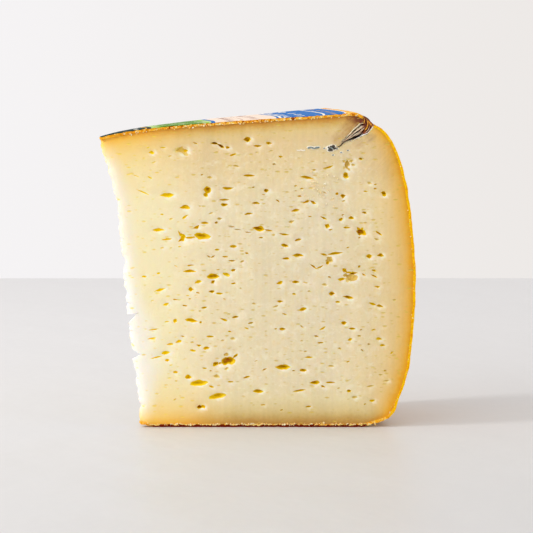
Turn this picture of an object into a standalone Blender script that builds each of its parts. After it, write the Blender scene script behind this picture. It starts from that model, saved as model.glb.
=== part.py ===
"""A wedge of a small wheel of semi-hard goat's milk cheese, with the paper label on its top rind.

The wheel's axis stands upright at the wedge's thin point. Shapes are worked out around that axis, with
the front cut face in the plane y = 0 and the rim at +X, and are then moved so that the origin is the
centre of the bounding box's bottom. The wedge stands on its bottom rind.
"""

import math

import bmesh
import bpy
from mathutils import Matrix, Vector
from mathutils.geometry import interpolate_bezier

MM = 0.001

# Points closer than this are one point.
TOLERANCE = 0.001 * MM

# Edges that turn by more than this stay sharp.
SHARP_ANGLE = math.radians(35)

# The wheel, and the wedge cut from it, which is about a fourteenth of the wheel.
WHEEL_RADIUS = 110.7 * MM
WEDGE_ANGLE = math.radians(26)
SPIN_STEPS = 15

# The top is dished: it rises from DISH_BASE by DISH_SLOPE, and sinks by DISH_DROP more at the axis.
DISH_BASE = 103.87 * MM
DISH_SLOPE = 0.065
DISH_DROP = 3.0 * MM
DISH_REACH = 13.1 * MM
DISH_RINGS = 12

# The rim's bulge, from the edge of the flat bottom up to the shoulder, as radius and height.
FLAT_BOTTOM = 90 * MM
BOTTOM_RINGS = 3
RIM = (
    (98.0 * MM, 2.2 * MM),
    (101.4 * MM, 4.2 * MM),
    (103.9 * MM, 8.7 * MM),
    (108.4 * MM, 22.6 * MM),
    (WHEEL_RADIUS, 50.4 * MM),
    (109.4 * MM, 72.1 * MM),
    (105.9 * MM, 90.0 * MM),
    (101.5 * MM, 101.1 * MM),
    (95.2 * MM, 107.0 * MM),
    (91.4 * MM, 109.1 * MM),
    (88.8 * MM, 109.75 * MM),
)
POINTS_PER_SPAN = 5

# A smooth line's handles are this share of the chord between a point's two neighbours.
HANDLE_SHARE = 1 / 6

# The thin edge leans away from the axis in a slight curve: height, and distance from the axis there.
THIN_EDGE = (
    (0.0, 14.3 * MM),
    (10 * MM, 13.5 * MM),
    (28 * MM, 10.9 * MM),
    (45 * MM, 9.6 * MM),
    (66 * MM, 8.2 * MM),
    (80 * MM, 6.7 * MM),
    (90 * MM, 3.9 * MM),
    (DISH_BASE - DISH_DROP, 0.6 * MM),
)

# Cutters start this far outside the front cut face.
CUTTER_START = -1 * MM

# Crumbled notches in the thin edge: height, depth from the edge and height of the mouth.
NOTCHES = (
    (43.6 * MM, 1.6 * MM, 1.2 * MM),
    (38.2 * MM, 4.1 * MM, 2.4 * MM),
    (34.0 * MM, 1.5 * MM, 1.2 * MM),
    (25.8 * MM, 3.4 * MM, 2.9 * MM),
)
NOTCH_OVERLAP = 3 * MM
NOTCH_THROUGH = 9 * MM

# The fold where the rind turned inwards at the shoulder: a hollow that narrows from its mouth to its tip.
FOLD_MOUTH = (94.1 * MM, 106.7 * MM)
FOLD_BEND = (90.2 * MM, 102.6 * MM)
FOLD_TIP = (84.1 * MM, 98.1 * MM)
FOLD_WIDTH = 4.8 * MM
FOLD_DEPTH = 4 * MM
FOLD_MOUTH_SHARE = 0.5
FOLD_LOWER_SHARE = 0.8
FOLD_FLOOR_SCALE = 0.4

# The largest eyes on the front cut face: place along it, height, length, height of the eye, tilt in degrees.
EYES = (
    (33.0, 66.5, 10.3, 2.6, 0),
    (45.1, 23.4, 5.2, 3.6, 12),
    (87.4, 52.9, 6.1, 3.4, 0),
    (81.3, 60.0, 6.0, 1.4, 8),
    (55.8, 69.3, 4.6, 1.5, -6),
    (91.6, 68.0, 3.2, 2.4, 0),
    (64.1, 20.8, 5.0, 1.6, 0),
    (34.7, 14.9, 5.5, 1.8, 3),
    (41.2, 10.4, 5.2, 1.8, 12),
    (29.6, 96.5, 5.0, 2.7, 0),
    (87.0, 91.4, 3.4, 3.0, 0),
    (24.3, 80.9, 5.0, 1.5, 0),
    (21.2, 69.0, 4.7, 1.3, 0),
    (32.1, 54.4, 4.6, 1.3, 0),
    (40.1, 52.6, 4.0, 1.7, 0),
    (76.4, 15.2, 5.7, 1.4, 0),
    (73.3, 78.2, 4.2, 1.5, 0),
    (33.0, 37.1, 5.3, 1.3, -5),
)
EYE_DEPTH_PER_HEIGHT = 1.3

# The paper label lies on the dish, with a small gap under it.
LABEL_RADIUS = 86.7 * MM
LABEL_THICKNESS = 0.4 * MM
LABEL_GAP = 0.3 * MM
LABEL_RINGS = 12
LABEL_POINT = 1.5 * MM

TO_FRAME = Vector((-(WHEEL_RADIUS + THIN_EDGE[-1][1]) / 2, -WHEEL_RADIUS * math.sin(WEDGE_ANGLE) / 2, 0))
UP = Vector((0, 0, 1))


def clear_scene():
    for obj in list(bpy.data.objects):
        bpy.data.objects.remove(obj)


def material(name, colour, roughness):
    """A plain non-metallic finish."""
    made = bpy.data.materials.new(name)
    made.use_nodes = True
    shader = made.node_tree.nodes["Principled BSDF"]
    shader.inputs["Base Color"].default_value = (*colour, 1)
    shader.inputs["Roughness"].default_value = roughness
    shader.inputs["Metallic"].default_value = 0
    return made


def dish_height(radius):
    return DISH_BASE + DISH_SLOPE * radius - DISH_DROP * math.exp(-radius / DISH_REACH)


def smooth_line(points):
    """A smooth line through the points, which leaves each one along the chord between its neighbours."""
    points = [Vector((*point, 0)) for point in points]
    line = [points[0]]
    for i in range(1, len(points)):
        start, end = points[i - 1], points[i]
        before = points[max(i - 2, 0)]
        after = points[min(i + 1, len(points) - 1)]
        handle_out = start + (end - before) * HANDLE_SHARE
        handle_in = end - (after - start) * HANDLE_SHARE
        line += interpolate_bezier(start, handle_out, handle_in, end, POINTS_PER_SPAN)[1:]
    return [(point.x, point.y) for point in line]


def wheel_outline():
    """Half of the wheel's section, as radius and height: the bottom, the rim, the dish and down the axis."""
    bottom = [(FLAT_BOTTOM * i / BOTTOM_RINGS, 0.0) for i in range(BOTTOM_RINGS)]
    shoulder_end = (LABEL_RADIUS, dish_height(LABEL_RADIUS))
    rim = smooth_line([(FLAT_BOTTOM, 0.0), *RIM, shoulder_end])
    dish = [LABEL_RADIUS * (1 - i / DISH_RINGS) for i in range(1, DISH_RINGS)]
    axis = [(0.0, height) for height, _ in reversed(THIN_EDGE[1:])]
    return bottom + rim + [(radius, dish_height(radius)) for radius in dish] + axis


def thin_edge(height):
    """How far the wedge's thin edge stands from the wheel's axis at a height."""
    spans = zip(THIN_EDGE, THIN_EDGE[1:])
    for (low, at_low), (high, at_high) in spans:
        if height <= high:
            return at_low + (at_high - at_low) * (height - low) / (high - low)
    return THIN_EDGE[-1][1]


def lean(mesh):
    """Moves every point towards the rim by its share of the thin edge's lean, which is none at the rim.

    The mesh is first cut level at the thin edge's heights, so that the back cut face can follow the curve.
    """
    for height, _ in THIN_EDGE[1:-1]:
        everything = [*mesh.verts, *mesh.edges, *mesh.faces]
        bmesh.ops.bisect_plane(mesh, geom=everything, dist=TOLERANCE, plane_co=UP * height, plane_no=UP)
    for vert in mesh.verts:
        share = max(0.0, 1 - vert.co.xy.length / WHEEL_RADIUS)
        vert.co.x += thin_edge(vert.co.z) * share


def add_object(name, mesh, finish=None):
    """Makes an object of the bmesh, moved from the wheel's axis into the part's frame."""
    bmesh.ops.recalc_face_normals(mesh, faces=mesh.faces)
    bmesh.ops.translate(mesh, verts=mesh.verts, vec=TO_FRAME)
    data = bpy.data.meshes.new(name)
    mesh.to_mesh(data)
    mesh.free()
    if finish:
        data.materials.append(finish)
        data.shade_smooth()
        data.set_sharp_from_angle(angle=SHARP_ANGLE)
    obj = bpy.data.objects.new(name, data)
    bpy.context.scene.collection.objects.link(obj)
    return obj


def add_cutter(name, mesh):
    cutter = add_object(name, mesh)
    cutter.hide_render = True
    cutter.display_type = "WIRE"
    return cutter


def cut(obj, cutter):
    boolean = obj.modifiers.new(cutter.name, "BOOLEAN")
    boolean.operation = "DIFFERENCE"
    boolean.object = cutter


def spun_sector(outline, steps):
    """Turns an upright outline round the wheel's axis by the wedge's angle, into a closed sector."""
    mesh = bmesh.new()
    corners = [mesh.verts.new((radius, 0, height)) for radius, height in outline]
    face = mesh.faces.new(corners)
    bmesh.ops.spin(
        mesh,
        geom=[face, *face.edges, *face.verts],
        axis=UP,
        cent=(0, 0, 0),
        angle=WEDGE_ANGLE,
        steps=steps,
    )
    bmesh.ops.remove_doubles(mesh, verts=mesh.verts, dist=TOLERANCE)
    return mesh


def prism(outline, back, back_centre, back_scale):
    """A cutter with this outline outside the front cut face, shrunk about a point towards y = back."""
    mesh = bmesh.new()
    face = mesh.faces.new([mesh.verts.new((x, CUTTER_START, z)) for x, z in outline])
    extruded = bmesh.ops.extrude_face_region(mesh, geom=[face])["geom"]
    far = [item for item in extruded if isinstance(item, bmesh.types.BMVert)]
    bmesh.ops.translate(mesh, verts=far, vec=(0, back - CUTTER_START, 0))
    centre = Matrix.Translation((-back_centre[0], 0, -back_centre[1]))
    bmesh.ops.scale(mesh, verts=far, vec=(back_scale, 1, back_scale), space=centre)
    return mesh


def add_notch(index, height, depth, mouth):
    """A crumbled notch: a three-sided cutter through the thin edge, pointing towards the rim."""
    edge = thin_edge(height)
    outside = edge - NOTCH_OVERLAP
    widening = mouth / 2 * (depth + NOTCH_OVERLAP) / depth
    outline = [(edge + depth, height), (outside, height + widening), (outside, height - widening)]
    return add_cutter(f"notch_cutter_{index}", prism(outline, NOTCH_THROUGH, outline[0], 1))


def add_fold():
    """The fold's hollow in the front cut face, widest near its mouth and closing to its tip."""
    mouth, bend, tip = (Vector(point) for point in (FOLD_MOUTH, FOLD_BEND, FOLD_TIP))
    across = (mouth - tip).orthogonal().normalized() * FOLD_WIDTH / 2
    at_mouth, lower = across * FOLD_MOUTH_SHARE, across * FOLD_LOWER_SHARE
    outline = [mouth - at_mouth, bend - across, tip, bend + lower, mouth + at_mouth]
    return add_cutter("fold_cutter", prism(outline, FOLD_DEPTH, tuple(bend), FOLD_FLOOR_SCALE))


def add_eye(index, along, height, length, eye_height, tilt):
    """A flattened hollow in the front cut face, its sizes in millimetres."""
    mesh = bmesh.new()
    bmesh.ops.create_icosphere(mesh, subdivisions=2, radius=1)
    half = Vector((length / 2, eye_height * EYE_DEPTH_PER_HEIGHT, eye_height / 2)) * MM
    bmesh.ops.scale(mesh, verts=mesh.verts, vec=half)
    turned = Matrix.Rotation(math.radians(-tilt), 3, "Y")
    bmesh.ops.rotate(mesh, verts=mesh.verts, cent=(0, 0, 0), matrix=turned)
    bmesh.ops.translate(mesh, verts=mesh.verts, vec=(along * MM, 0, height * MM))
    return add_cutter(f"eye_cutter_{index}", mesh)


def add_wedge():
    mesh = spun_sector(wheel_outline(), SPIN_STEPS)
    lean(mesh)
    wedge = add_object("cheese_wedge", mesh, material("goat_cheese", (0.82, 0.66, 0.38), 0.45))
    for index, notch in enumerate(NOTCHES, 1):
        cut(wedge, add_notch(index, *notch))
    cut(wedge, add_fold())
    for index, eye in enumerate(EYES, 1):
        cut(wedge, add_eye(index, *eye))


def add_label():
    """The printed paper: a thin sheet over the dish, cut with the wedge, blunt at its thin end."""
    radii = [LABEL_POINT + (LABEL_RADIUS - LABEL_POINT) * i / LABEL_RINGS for i in range(LABEL_RINGS + 1)]
    under = [(radius, dish_height(radius) + LABEL_GAP) for radius in radii]
    over = [(radius, height + LABEL_THICKNESS) for radius, height in reversed(under)]
    mesh = spun_sector(under + over, SPIN_STEPS)
    add_object("paper_label", mesh, material("printed_paper", (0.16, 0.36, 0.62), 0.5))


clear_scene()
add_wedge()
add_label()
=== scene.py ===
"""The looks of a wedge of semi-hard goat cheese: paste with its eyes, rind, paper label and mouldy fold.

Shapes are worked out in millimetres round the wheel's axis, which stands upright at the wedge's thin edge.
The front cut face is the plane y = 0 and the rim is at +X. A finished piece is then scaled and moved into the
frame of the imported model, so each object sits at the origin with its place in its mesh.
"""

from __future__ import annotations

import logging
import math
import random
from collections.abc import Callable, Iterable, Sequence
from dataclasses import dataclass
from enum import Enum

import bmesh
import bpy
from mathutils import Matrix, Vector, noise
from mathutils.geometry import interpolate_bezier
from mathutils.kdtree import KDTree


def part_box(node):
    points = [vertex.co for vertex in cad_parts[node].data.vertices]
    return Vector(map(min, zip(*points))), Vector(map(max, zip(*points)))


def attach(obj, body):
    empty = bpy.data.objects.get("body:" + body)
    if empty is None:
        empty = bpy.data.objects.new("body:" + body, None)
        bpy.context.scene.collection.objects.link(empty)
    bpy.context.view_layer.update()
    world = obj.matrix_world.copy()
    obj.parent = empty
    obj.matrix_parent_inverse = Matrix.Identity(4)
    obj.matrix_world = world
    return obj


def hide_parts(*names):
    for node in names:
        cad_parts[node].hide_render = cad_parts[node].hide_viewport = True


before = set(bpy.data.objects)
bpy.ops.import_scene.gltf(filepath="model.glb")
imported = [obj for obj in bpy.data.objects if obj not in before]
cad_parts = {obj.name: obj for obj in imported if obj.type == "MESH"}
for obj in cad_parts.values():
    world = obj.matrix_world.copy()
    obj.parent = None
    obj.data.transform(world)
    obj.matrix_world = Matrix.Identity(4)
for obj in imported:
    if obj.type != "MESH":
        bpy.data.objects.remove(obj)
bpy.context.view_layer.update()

LOG = logging.getLogger("goat_cheese")
MM = 0.001
UP = Vector((0, 0, 1))
SHARP_ANGLE = math.radians(38)

Pair = tuple[float, float]
Outline = list[Pair]
Mesh = bmesh.types.BMesh
Vert = bmesh.types.BMVert
Socket = bpy.types.NodeSocket
Material = bpy.types.Material


# ---------------------------------------------------------------- small helpers


def srgb(red: int, green: int, blue: int) -> tuple[float, float, float, float]:
    """A colour as a screen shows it, from 0 to 255, as Blender's linear RGBA."""
    levels = [value / 255 for value in (red, green, blue)]
    linear = [v / 12.92 if v <= 0.04045 else ((v + 0.055) / 1.055) ** 2.4 for v in levels]
    return (*linear, 1.0)


def tints(*rows: tuple[float, int, int, int]) -> tuple[tuple[float, tuple], ...]:
    """Colours as a screen shows them, each with the depth or share where it stands in a ramp."""
    return tuple((at, srgb(*colour)) for at, *colour in rows)


def clamp(value: float, low: float = 0.0, high: float = 1.0) -> float:
    """The value, kept between two limits."""
    return max(low, min(high, value))


def ease(value: float, start: float, end: float) -> float:
    """A smooth step from 0 at start to 1 at end."""
    share = clamp((value - start) / (end - start))
    return share * share * (3 - 2 * share)


@dataclass(frozen=True)
class Relief:
    """Smooth unevenness, with its height and the distance between its humps in millimetres.

    The seed moves the pattern, so that two of them differ, and detail is how many finer layers it holds.
    """

    height: float
    size: float
    seed: float = 0.0
    detail: int = 3

    def at(self, point: Sequence[float]) -> float:
        """Its height at a point, between about minus and plus its own height."""
        place = Vector(point) / self.size + Vector((self.seed, self.seed * 0.37, -self.seed * 0.61))
        return self.height * noise.fractal(place, 1.0, 2.1, self.detail)


def smooth_line(points: Sequence[Pair], per_span: int = 16) -> Outline:
    """A smooth line through the points, which leaves each one along the chord between its neighbours.

    Args:
        points: The points that the line passes.
        per_span: How many points it gets for each span.

    Returns:
        The points of the line.
    """
    knots = [Vector((*point, 0)) for point in points]
    line = [knots[0]]
    for index in range(1, len(knots)):
        start, end = knots[index - 1], knots[index]
        before, after = knots[max(index - 2, 0)], knots[min(index + 1, len(knots) - 1)]
        handles = start + (end - before) / 6, end - (after - start) / 6
        line += interpolate_bezier(start, *handles, end, per_span)[1:]
    return [(point.x, point.y) for point in line]


def spaced(line: Outline, pitch: float) -> Outline:
    """The same line with its points evenly spaced.

    Args:
        line: The points of the line.
        pitch: About how far apart the new points lie.

    Returns:
        The new points, with the line's own ends.
    """
    lengths = [math.dist(a, b) for a, b in zip(line, line[1:])]
    total = sum(lengths)
    count = max(2, round(total / pitch))
    spaced_out, walked, index = [line[0]], 0.0, 0
    for step in range(1, count):
        target = total * step / count
        while walked + lengths[index] < target:
            walked += lengths[index]
            index += 1
        share = (target - walked) / lengths[index]
        (ax, ay), (bx, by) = line[index], line[index + 1]
        spaced_out.append((ax + (bx - ax) * share, ay + (by - ay) * share))
    return [*spaced_out, line[-1]]


# ---------------------------------------------------------------- the wheel and its wedge


class CutFace(Enum):
    """The wedge's two cut faces."""

    FRONT = "front"
    BACK = "back"


@dataclass(frozen=True)
class Wheel:
    """The wheel that the wedge is cut from, in millimetres round its axis.

    The radius, the wedge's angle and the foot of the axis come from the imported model.
    """

    radius: float
    angle: float
    foot: Vector
    dish_base: float = 103.87
    dish_slope: float = 0.065
    dish_drop: float = 3.0
    dish_reach: float = 13.1
    height: float = 110.0
    label_radius: float = 86.7
    flat_bottom: float = 90.0
    rim: tuple[Pair, ...] = (
        (98.0, 2.2), (101.4, 4.2), (103.9, 8.7), (108.4, 22.6), (110.5, 50.4), (108.9, 72.1),
        (105.9, 90.0), (101.5, 101.1), (95.2, 107.0), (91.4, 109.1), (88.8, 109.75),
    )
    thin: tuple[Pair, ...] = (
        (0.0, 14.7), (10.0, 14.1), (20.0, 12.9), (28.0, 11.6), (38.0, 10.6), (48.0, 9.6), (66.0, 8.2),
        (80.0, 6.7), (90.0, 3.9), (96.0, 2.1), (100.87, 1.3),
    )
    tip: float = 0.6
    blunt: float = 4.0
    fold_mouth: Pair = (94.2, 107.4)
    curl_rise: float = 0.9
    curl_reach: Pair = (0.5, 5.5)
    curl_height: float = 5.0

    @classmethod
    def of_frame(cls) -> Wheel:
        """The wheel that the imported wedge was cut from."""
        low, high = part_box("cheese_wedge")
        radius = (high.x - low.x) / MM + cls.tip
        angle = math.asin((high.y - low.y) / MM / radius)
        return cls(radius, angle, Vector(low) - Vector((cls.tip * MM, 0, 0)))

    def dish(self, radius: float) -> float:
        """The height of the dished top at a radius."""
        lowered = self.dish_drop * math.exp(-radius / self.dish_reach)
        return self.dish_base + self.dish_slope * radius - lowered

    def top(self, radius: float) -> float:
        """The height of the dished top at a radius before the lean."""
        return self.dish(radius + self.shift(radius, self.height))

    def profile(self, pitch: float) -> Outline:
        """Half of the wheel's section outside the blunt thin edge, as radius and height.

        Args:
            pitch: About how far apart its points lie.

        Returns:
            The bottom, the rim and the dish, in order.
        """
        label_edge = self.label_radius, self.dish(self.label_radius)
        rim = smooth_line([(self.flat_bottom, 0.0), *self.rim, label_edge])
        bottom = spaced([(self.blunt, 0.0), (self.flat_bottom, 0.0)], pitch)
        steps = round((self.label_radius - self.blunt) / pitch)
        span = self.blunt - self.label_radius
        radii = [self.label_radius + span * i / steps for i in range(1, steps + 1)]
        return bottom[:-1] + spaced(rim, pitch) + [(r, self.top(r)) for r in radii]

    def thin_edge(self, height: float) -> float:
        """How far the wedge's thin edge stands from the wheel's axis at a height."""
        for (low, at_low), (high, at_high) in zip(self.thin, self.thin[1:]):
            if height <= high:
                return at_low + (at_high - at_low) * (height - low) / (high - low)
        return self.thin[-1][1]

    def shift(self, radius: float, height: float) -> float:
        """How far a point at a radius moves along X, so that the blunt edge comes to the thin edge."""
        share = clamp((self.radius - radius) / (self.radius - self.blunt))
        return (self.thin_edge(height) - self.blunt) * share

    def lean(self, mesh: Mesh) -> None:
        """Moves every point by its share of the thin edge's lean, which is none at the rim."""
        for vert in mesh.verts:
            vert.co.x += self.shift(vert.co.xy.length, vert.co.z)

    def along(self, face: CutFace) -> Vector:
        """The level direction in a cut face, from the thin edge to the rim."""
        turn = self.angle if face is CutFace.BACK else 0.0
        return Vector((math.cos(turn), math.sin(turn), 0))

    def outward(self, face: CutFace) -> Vector:
        """The direction out of a cut face."""
        sideways = self.along(face).cross(UP)
        return sideways if face is CutFace.FRONT else -sideways

    def on_face(self, face: CutFace, along: float, up: float, out: float = 0.0) -> Vector:
        """A point on a cut face.

        Args:
            face: Which cut face.
            along: Distance from the wheel's axis, which on the back face is the one before the lean.
            up: Height.
            out: How far outside the face.

        Returns:
            The point.
        """
        lean = self.shift(along, up) if face is CutFace.BACK else 0.0
        return self.along(face) * along + Vector((lean, 0, up)) + self.outward(face) * out

    def top_on(self, face: CutFace, along: float) -> float:
        """The height of the top over a place on a cut face."""
        return self.dish(along) if face is CutFace.FRONT else self.top(along)

    def on_plane(self, face: CutFace, point: Vector, slack: float = 0.01) -> bool:
        """Whether a point of an upright, unleaned shape lies in a cut face's plane."""
        return abs(point.dot(self.outward(face))) < slack

    def curl(self, away: float, height: float) -> float:
        """How far the foot of the thin edge curls up, at a distance from the edge."""
        return self.curl_rise * (1 - ease(away, *self.curl_reach)) * clamp(1 - height / self.curl_height)

    def rim_at(self, height: float) -> float:
        """The radius of the rim's bulge at a height."""
        line = smooth_line([(self.flat_bottom, 0.0), *self.rim])
        return min(line, key=lambda point: abs(point[1] - height))[0]

    def into_frame(self, mesh: Mesh) -> None:
        """Scales a mesh to metres and moves it from the wheel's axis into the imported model's frame."""
        bmesh.ops.scale(mesh, verts=mesh.verts, vec=(MM, MM, MM))
        bmesh.ops.translate(mesh, verts=mesh.verts, vec=self.foot)


def inset(profile: Outline, depth: Callable[[Vector], float]) -> Outline:
    """The profile moved inwards.

    Args:
        profile: Radius and height, with the inside on the left.
        depth: Gives how far to go in from the inward direction there.

    Returns:
        The moved points, in the same order.
    """
    moved = []
    for index, (x, y) in enumerate(profile):
        (ax, ay), (bx, by) = profile[max(index - 1, 0)], profile[min(index + 1, len(profile) - 1)]
        inward = Vector((ay - by, bx - ax)).normalized()
        go = depth(inward)
        moved.append((x + inward.x * go, y + inward.y * go))
    return moved


# ---------------------------------------------------------------- shader nodes


def math_node(operation: str, swapped: bool = False) -> Callable[..., Signal]:
    """Makes a method that adds a Math node of a signal and of the values it is given.

    Args:
        operation: What the node does.
        swapped: Whether the signal comes after the values.

    Returns:
        The method, which gives the node's result.
    """

    def method(signal: Signal, *values: Signal | float) -> Signal:
        """A Math node of these values."""
        node = signal.graph.node("ShaderNodeMath", {"operation": operation})
        for socket, value in zip(node.inputs, (*values, signal) if swapped else (signal, *values)):
            signal.graph.feed(socket, value)
        return Signal(signal.graph, node.outputs[0])

    return method


class Signal:
    """A number socket of a shader. Python's operators add Math nodes to it, and so do its methods.

    low and high are the lower and the higher of this and another, and soft_low is the lower with a corner
    rounded over a width. sine takes radians, and angle_from is the angle whose sides are this over another.
    """

    __add__ = __radd__ = math_node("ADD")
    __sub__ = math_node("SUBTRACT")
    __rsub__ = math_node("SUBTRACT", swapped=True)
    __mul__ = __rmul__ = math_node("MULTIPLY")
    __truediv__ = math_node("DIVIDE")
    __pow__ = math_node("POWER")
    __abs__ = math_node("ABSOLUTE")
    low, high, soft_low = math_node("MINIMUM"), math_node("MAXIMUM"), math_node("SMOOTH_MIN")
    exp, sine, angle_from = math_node("EXPONENT"), math_node("SINE"), math_node("ARCTAN2")
    wrap = math_node("WRAP")

    def __init__(self, graph: Graph, socket: Socket) -> None:
        """Keeps the socket with the graph that it belongs to."""
        self.graph = graph
        self.socket = socket

    def around(self, period: float) -> Signal:
        """Distance from the middle of a repeating period, from minus half to half of it."""
        return self.wrap(period / 2, -period / 2)

    def step(self, start: float, end: float, low: float = 0.0, high: float = 1.0) -> Signal:
        """A smooth step.

        Args:
            start: Where it leaves low.
            end: Where it reaches high.
            low: Its value before start.
            high: Its value after end.

        Returns:
            The stepped signal.
        """
        node = self.graph.node(
            "ShaderNodeMapRange",
            {"interpolation_type": "SMOOTHSTEP"},
            {"Value": self, "From Min": start, "From Max": end, "To Min": low, "To Max": high},
        )
        return Signal(self.graph, node.outputs["Result"])

    def fall(self, start: float, end: float) -> Signal:
        """A smooth step down from 1 to 0."""
        return self.step(start, end, 1.0, 0.0)


@dataclass(frozen=True)
class Glow:
    """How light spreads under a surface: its share, its reach in millimetres, and green's and blue's part."""

    share: float
    reach: float
    green: float
    blue: float

    def sockets(self) -> dict:
        """The Principled surface's sockets for it."""
        return {
            "Subsurface Weight": self.share,
            "Subsurface Radius": (1.0, self.green, self.blue),
            "Subsurface Scale": self.reach * MM,
        }


class Graph:
    """The node tree of one material, on positions in millimetres from the wheel's axis."""

    def __init__(self, name: str, foot: Vector) -> None:
        """Starts an empty material.

        Args:
            name: The material's name.
            foot: The foot of the wheel's axis, in metres.
        """
        self.material = bpy.data.materials.new(name)
        self.material.use_nodes = True
        self.tree = self.material.node_tree
        self.tree.nodes.clear()
        coordinates = self.node("ShaderNodeTexCoord")
        self.place = self.vector(
            "SCALE", self.vector("SUBTRACT", coordinates.outputs["Object"], tuple(foot)), scale=1 / MM
        )
        self.x, self.y, self.z = self.split(self.place)

    def feed(self, socket: Socket, value: object) -> None:
        """Links a socket to a value's socket, or sets it to a number or tuple."""
        if isinstance(value, Signal):
            self.tree.links.new(value.socket, socket)
        elif isinstance(value, Socket):
            self.tree.links.new(value, socket)
        else:
            socket.default_value = value

    def node(self, kind: str, settings: dict | None = None, sockets: dict | None = None) -> bpy.types.Node:
        """Adds a node.

        Args:
            kind: Blender's name for the node's type.
            settings: Its properties, which are set first.
            sockets: Its inputs by identifier or name, as values or links.

        Returns:
            The node.
        """
        made = self.tree.nodes.new(kind)
        for name, value in (settings or {}).items():
            setattr(made, name, value)
        for key, value in (sockets or {}).items():
            known = {socket.identifier: socket for socket in made.inputs}
            self.feed(known[key] if key in known else made.inputs[key], value)
        return made

    def split(self, vector: Socket) -> list[Signal]:
        """The three parts of a vector."""
        parts = self.node("ShaderNodeSeparateXYZ", {}, {"Vector": vector})
        return [Signal(self, part) for part in parts.outputs]

    def combine(self, **parts: Signal) -> Socket:
        """The vector of parts called X, Y and Z. Those left out are 0."""
        return self.node("ShaderNodeCombineXYZ", {}, parts).outputs[0]

    def curve(self, value: Signal, points: Sequence[Pair], widest: float, highest: float) -> Signal:
        """A smooth curve, read at a value.

        Args:
            value: Where it is read.
            points: Values and results, from the lowest value up.
            widest: The highest value.
            highest: The highest result.

        Returns:
            The result.
        """
        node = self.node("ShaderNodeFloatCurve", {}, {"Value": value / widest})
        line = node.mapping.curves[0].points
        for index, (at, given) in enumerate(points):
            place = at / widest, given / highest
            if index < len(line):
                line[index].location = place
            else:
                line.new(*place)
        node.mapping.update()
        return Signal(self, node.outputs[0]) * highest

    def vector(self, operation: str, *values: object, scale: float | None = None) -> Socket:
        """A Vector Math node of these vectors, and its vector."""
        node = self.node("ShaderNodeVectorMath", {"operation": operation})
        for socket, value in zip(node.inputs, values):
            self.feed(socket, value)
        if scale is not None:
            node.inputs["Scale"].default_value = scale
        return node.outputs["Vector"]

    def length(self, x: Signal, y: Signal) -> Signal:
        """The length of a flat vector."""
        node = self.node("ShaderNodeVectorMath", {"operation": "LENGTH"}, {"Vector": self.combine(X=x, Y=y)})
        return Signal(self, node.outputs["Value"])

    def noise(
        self, size: float, detail: float = 3.0, stretch: Sequence[float] = (1, 1, 1), warp: float = 0.0,
        place: Socket | None = None,
    ) -> Signal:
        """Cloudy noise between 0 and 1.

        Args:
            size: The size of its clouds, in millimetres.
            detail: How many finer layers it holds.
            stretch: How many times longer its clouds are along each axis.
            warp: How far it is distorted.
            place: Where it reads, or the piece's position.

        Returns:
            The noise.
        """
        scaled = self.vector("DIVIDE", place or self.place, tuple(stretch))
        inputs = {"Vector": scaled, "Scale": 1 / size, "Detail": detail, "Distortion": warp}
        return Signal(self, self.node("ShaderNodeTexNoise", {}, inputs).outputs[0])

    def spots(self, size: float, stretch: Sequence[float] = (1, 1, 1)) -> tuple[Signal, Signal]:
        """Scattered cells: the distance from each one's middle in millimetres, and a number of its own."""
        scaled = self.vector("DIVIDE", self.place, tuple(stretch))
        cells = self.node("ShaderNodeTexVoronoi", {}, {"Vector": scaled, "Scale": 1 / size})
        own = self.node("ShaderNodeSeparateColor", {}, {"Color": cells.outputs["Color"]})
        return Signal(self, cells.outputs["Distance"]) * size, Signal(self, own.outputs["Red"])

    def ramp(self, value: Signal, stops: Sequence[tuple[float, tuple]]) -> Socket:
        """The colour at a value of a ramp, whose stops are values and colours in rising order."""
        node = self.node("ShaderNodeValToRGB", {}, {"Fac": value})
        elements = node.color_ramp.elements
        while len(elements) > 1:
            elements.remove(elements[-1])
        elements[0].position, elements[0].color = stops[0]
        for position, colour in stops[1:]:
            elements.new(position).color = colour
        return node.outputs["Color"]

    def strata(self, depth: Signal, layers: Sequence[tuple[float, tuple]], deepest: float) -> Socket:
        """The colour of layers at a depth, all in millimetres."""
        return self.ramp(depth / deepest, [(at / deepest, tint) for at, tint in layers])

    def mix(self, share: Signal | float, first: object, second: object, blend: str = "MIX") -> Socket:
        """A mix of two colours.

        Args:
            share: How much of the second one there is.
            first: A colour, as a socket or RGBA.
            second: Another.
            blend: How the second one is laid on.

        Returns:
            The colour.
        """
        settings = {"data_type": "RGBA", "blend_type": blend, "clamp_factor": True}
        node = self.node(
            "ShaderNodeMix", settings, {"Factor_Float": share, "A_Color": first, "B_Color": second}
        )
        return next(socket for socket in node.outputs if socket.identifier == "Result_Color")

    def coats(self, colour: object, *coats: tuple[Signal | float, object]) -> Socket:
        """Lays colours over one another.

        Args:
            colour: The lowest colour, as a socket or RGBA.
            coats: How much of each further colour there is, and the colour, from the lowest up.

        Returns:
            The colour that shows.
        """
        for share, coat in coats:
            colour = self.mix(share, colour, coat)
        return colour

    def grey(self, tone: Signal) -> Socket:
        """A grey of this tone."""
        return self.node("ShaderNodeCombineColor", {}, {"Red": tone, "Green": tone, "Blue": tone}).outputs[0]

    def bump(self, height: Signal, depth: float, under: Socket | None = None) -> Socket:
        """A normal for a relief of this depth in millimetres, on top of another one."""
        inputs = {"Height": height, "Distance": depth * MM, "Strength": 1.0}
        if under is not None:
            inputs["Normal"] = under
        return self.node("ShaderNodeBump", {}, inputs).outputs["Normal"]

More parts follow.
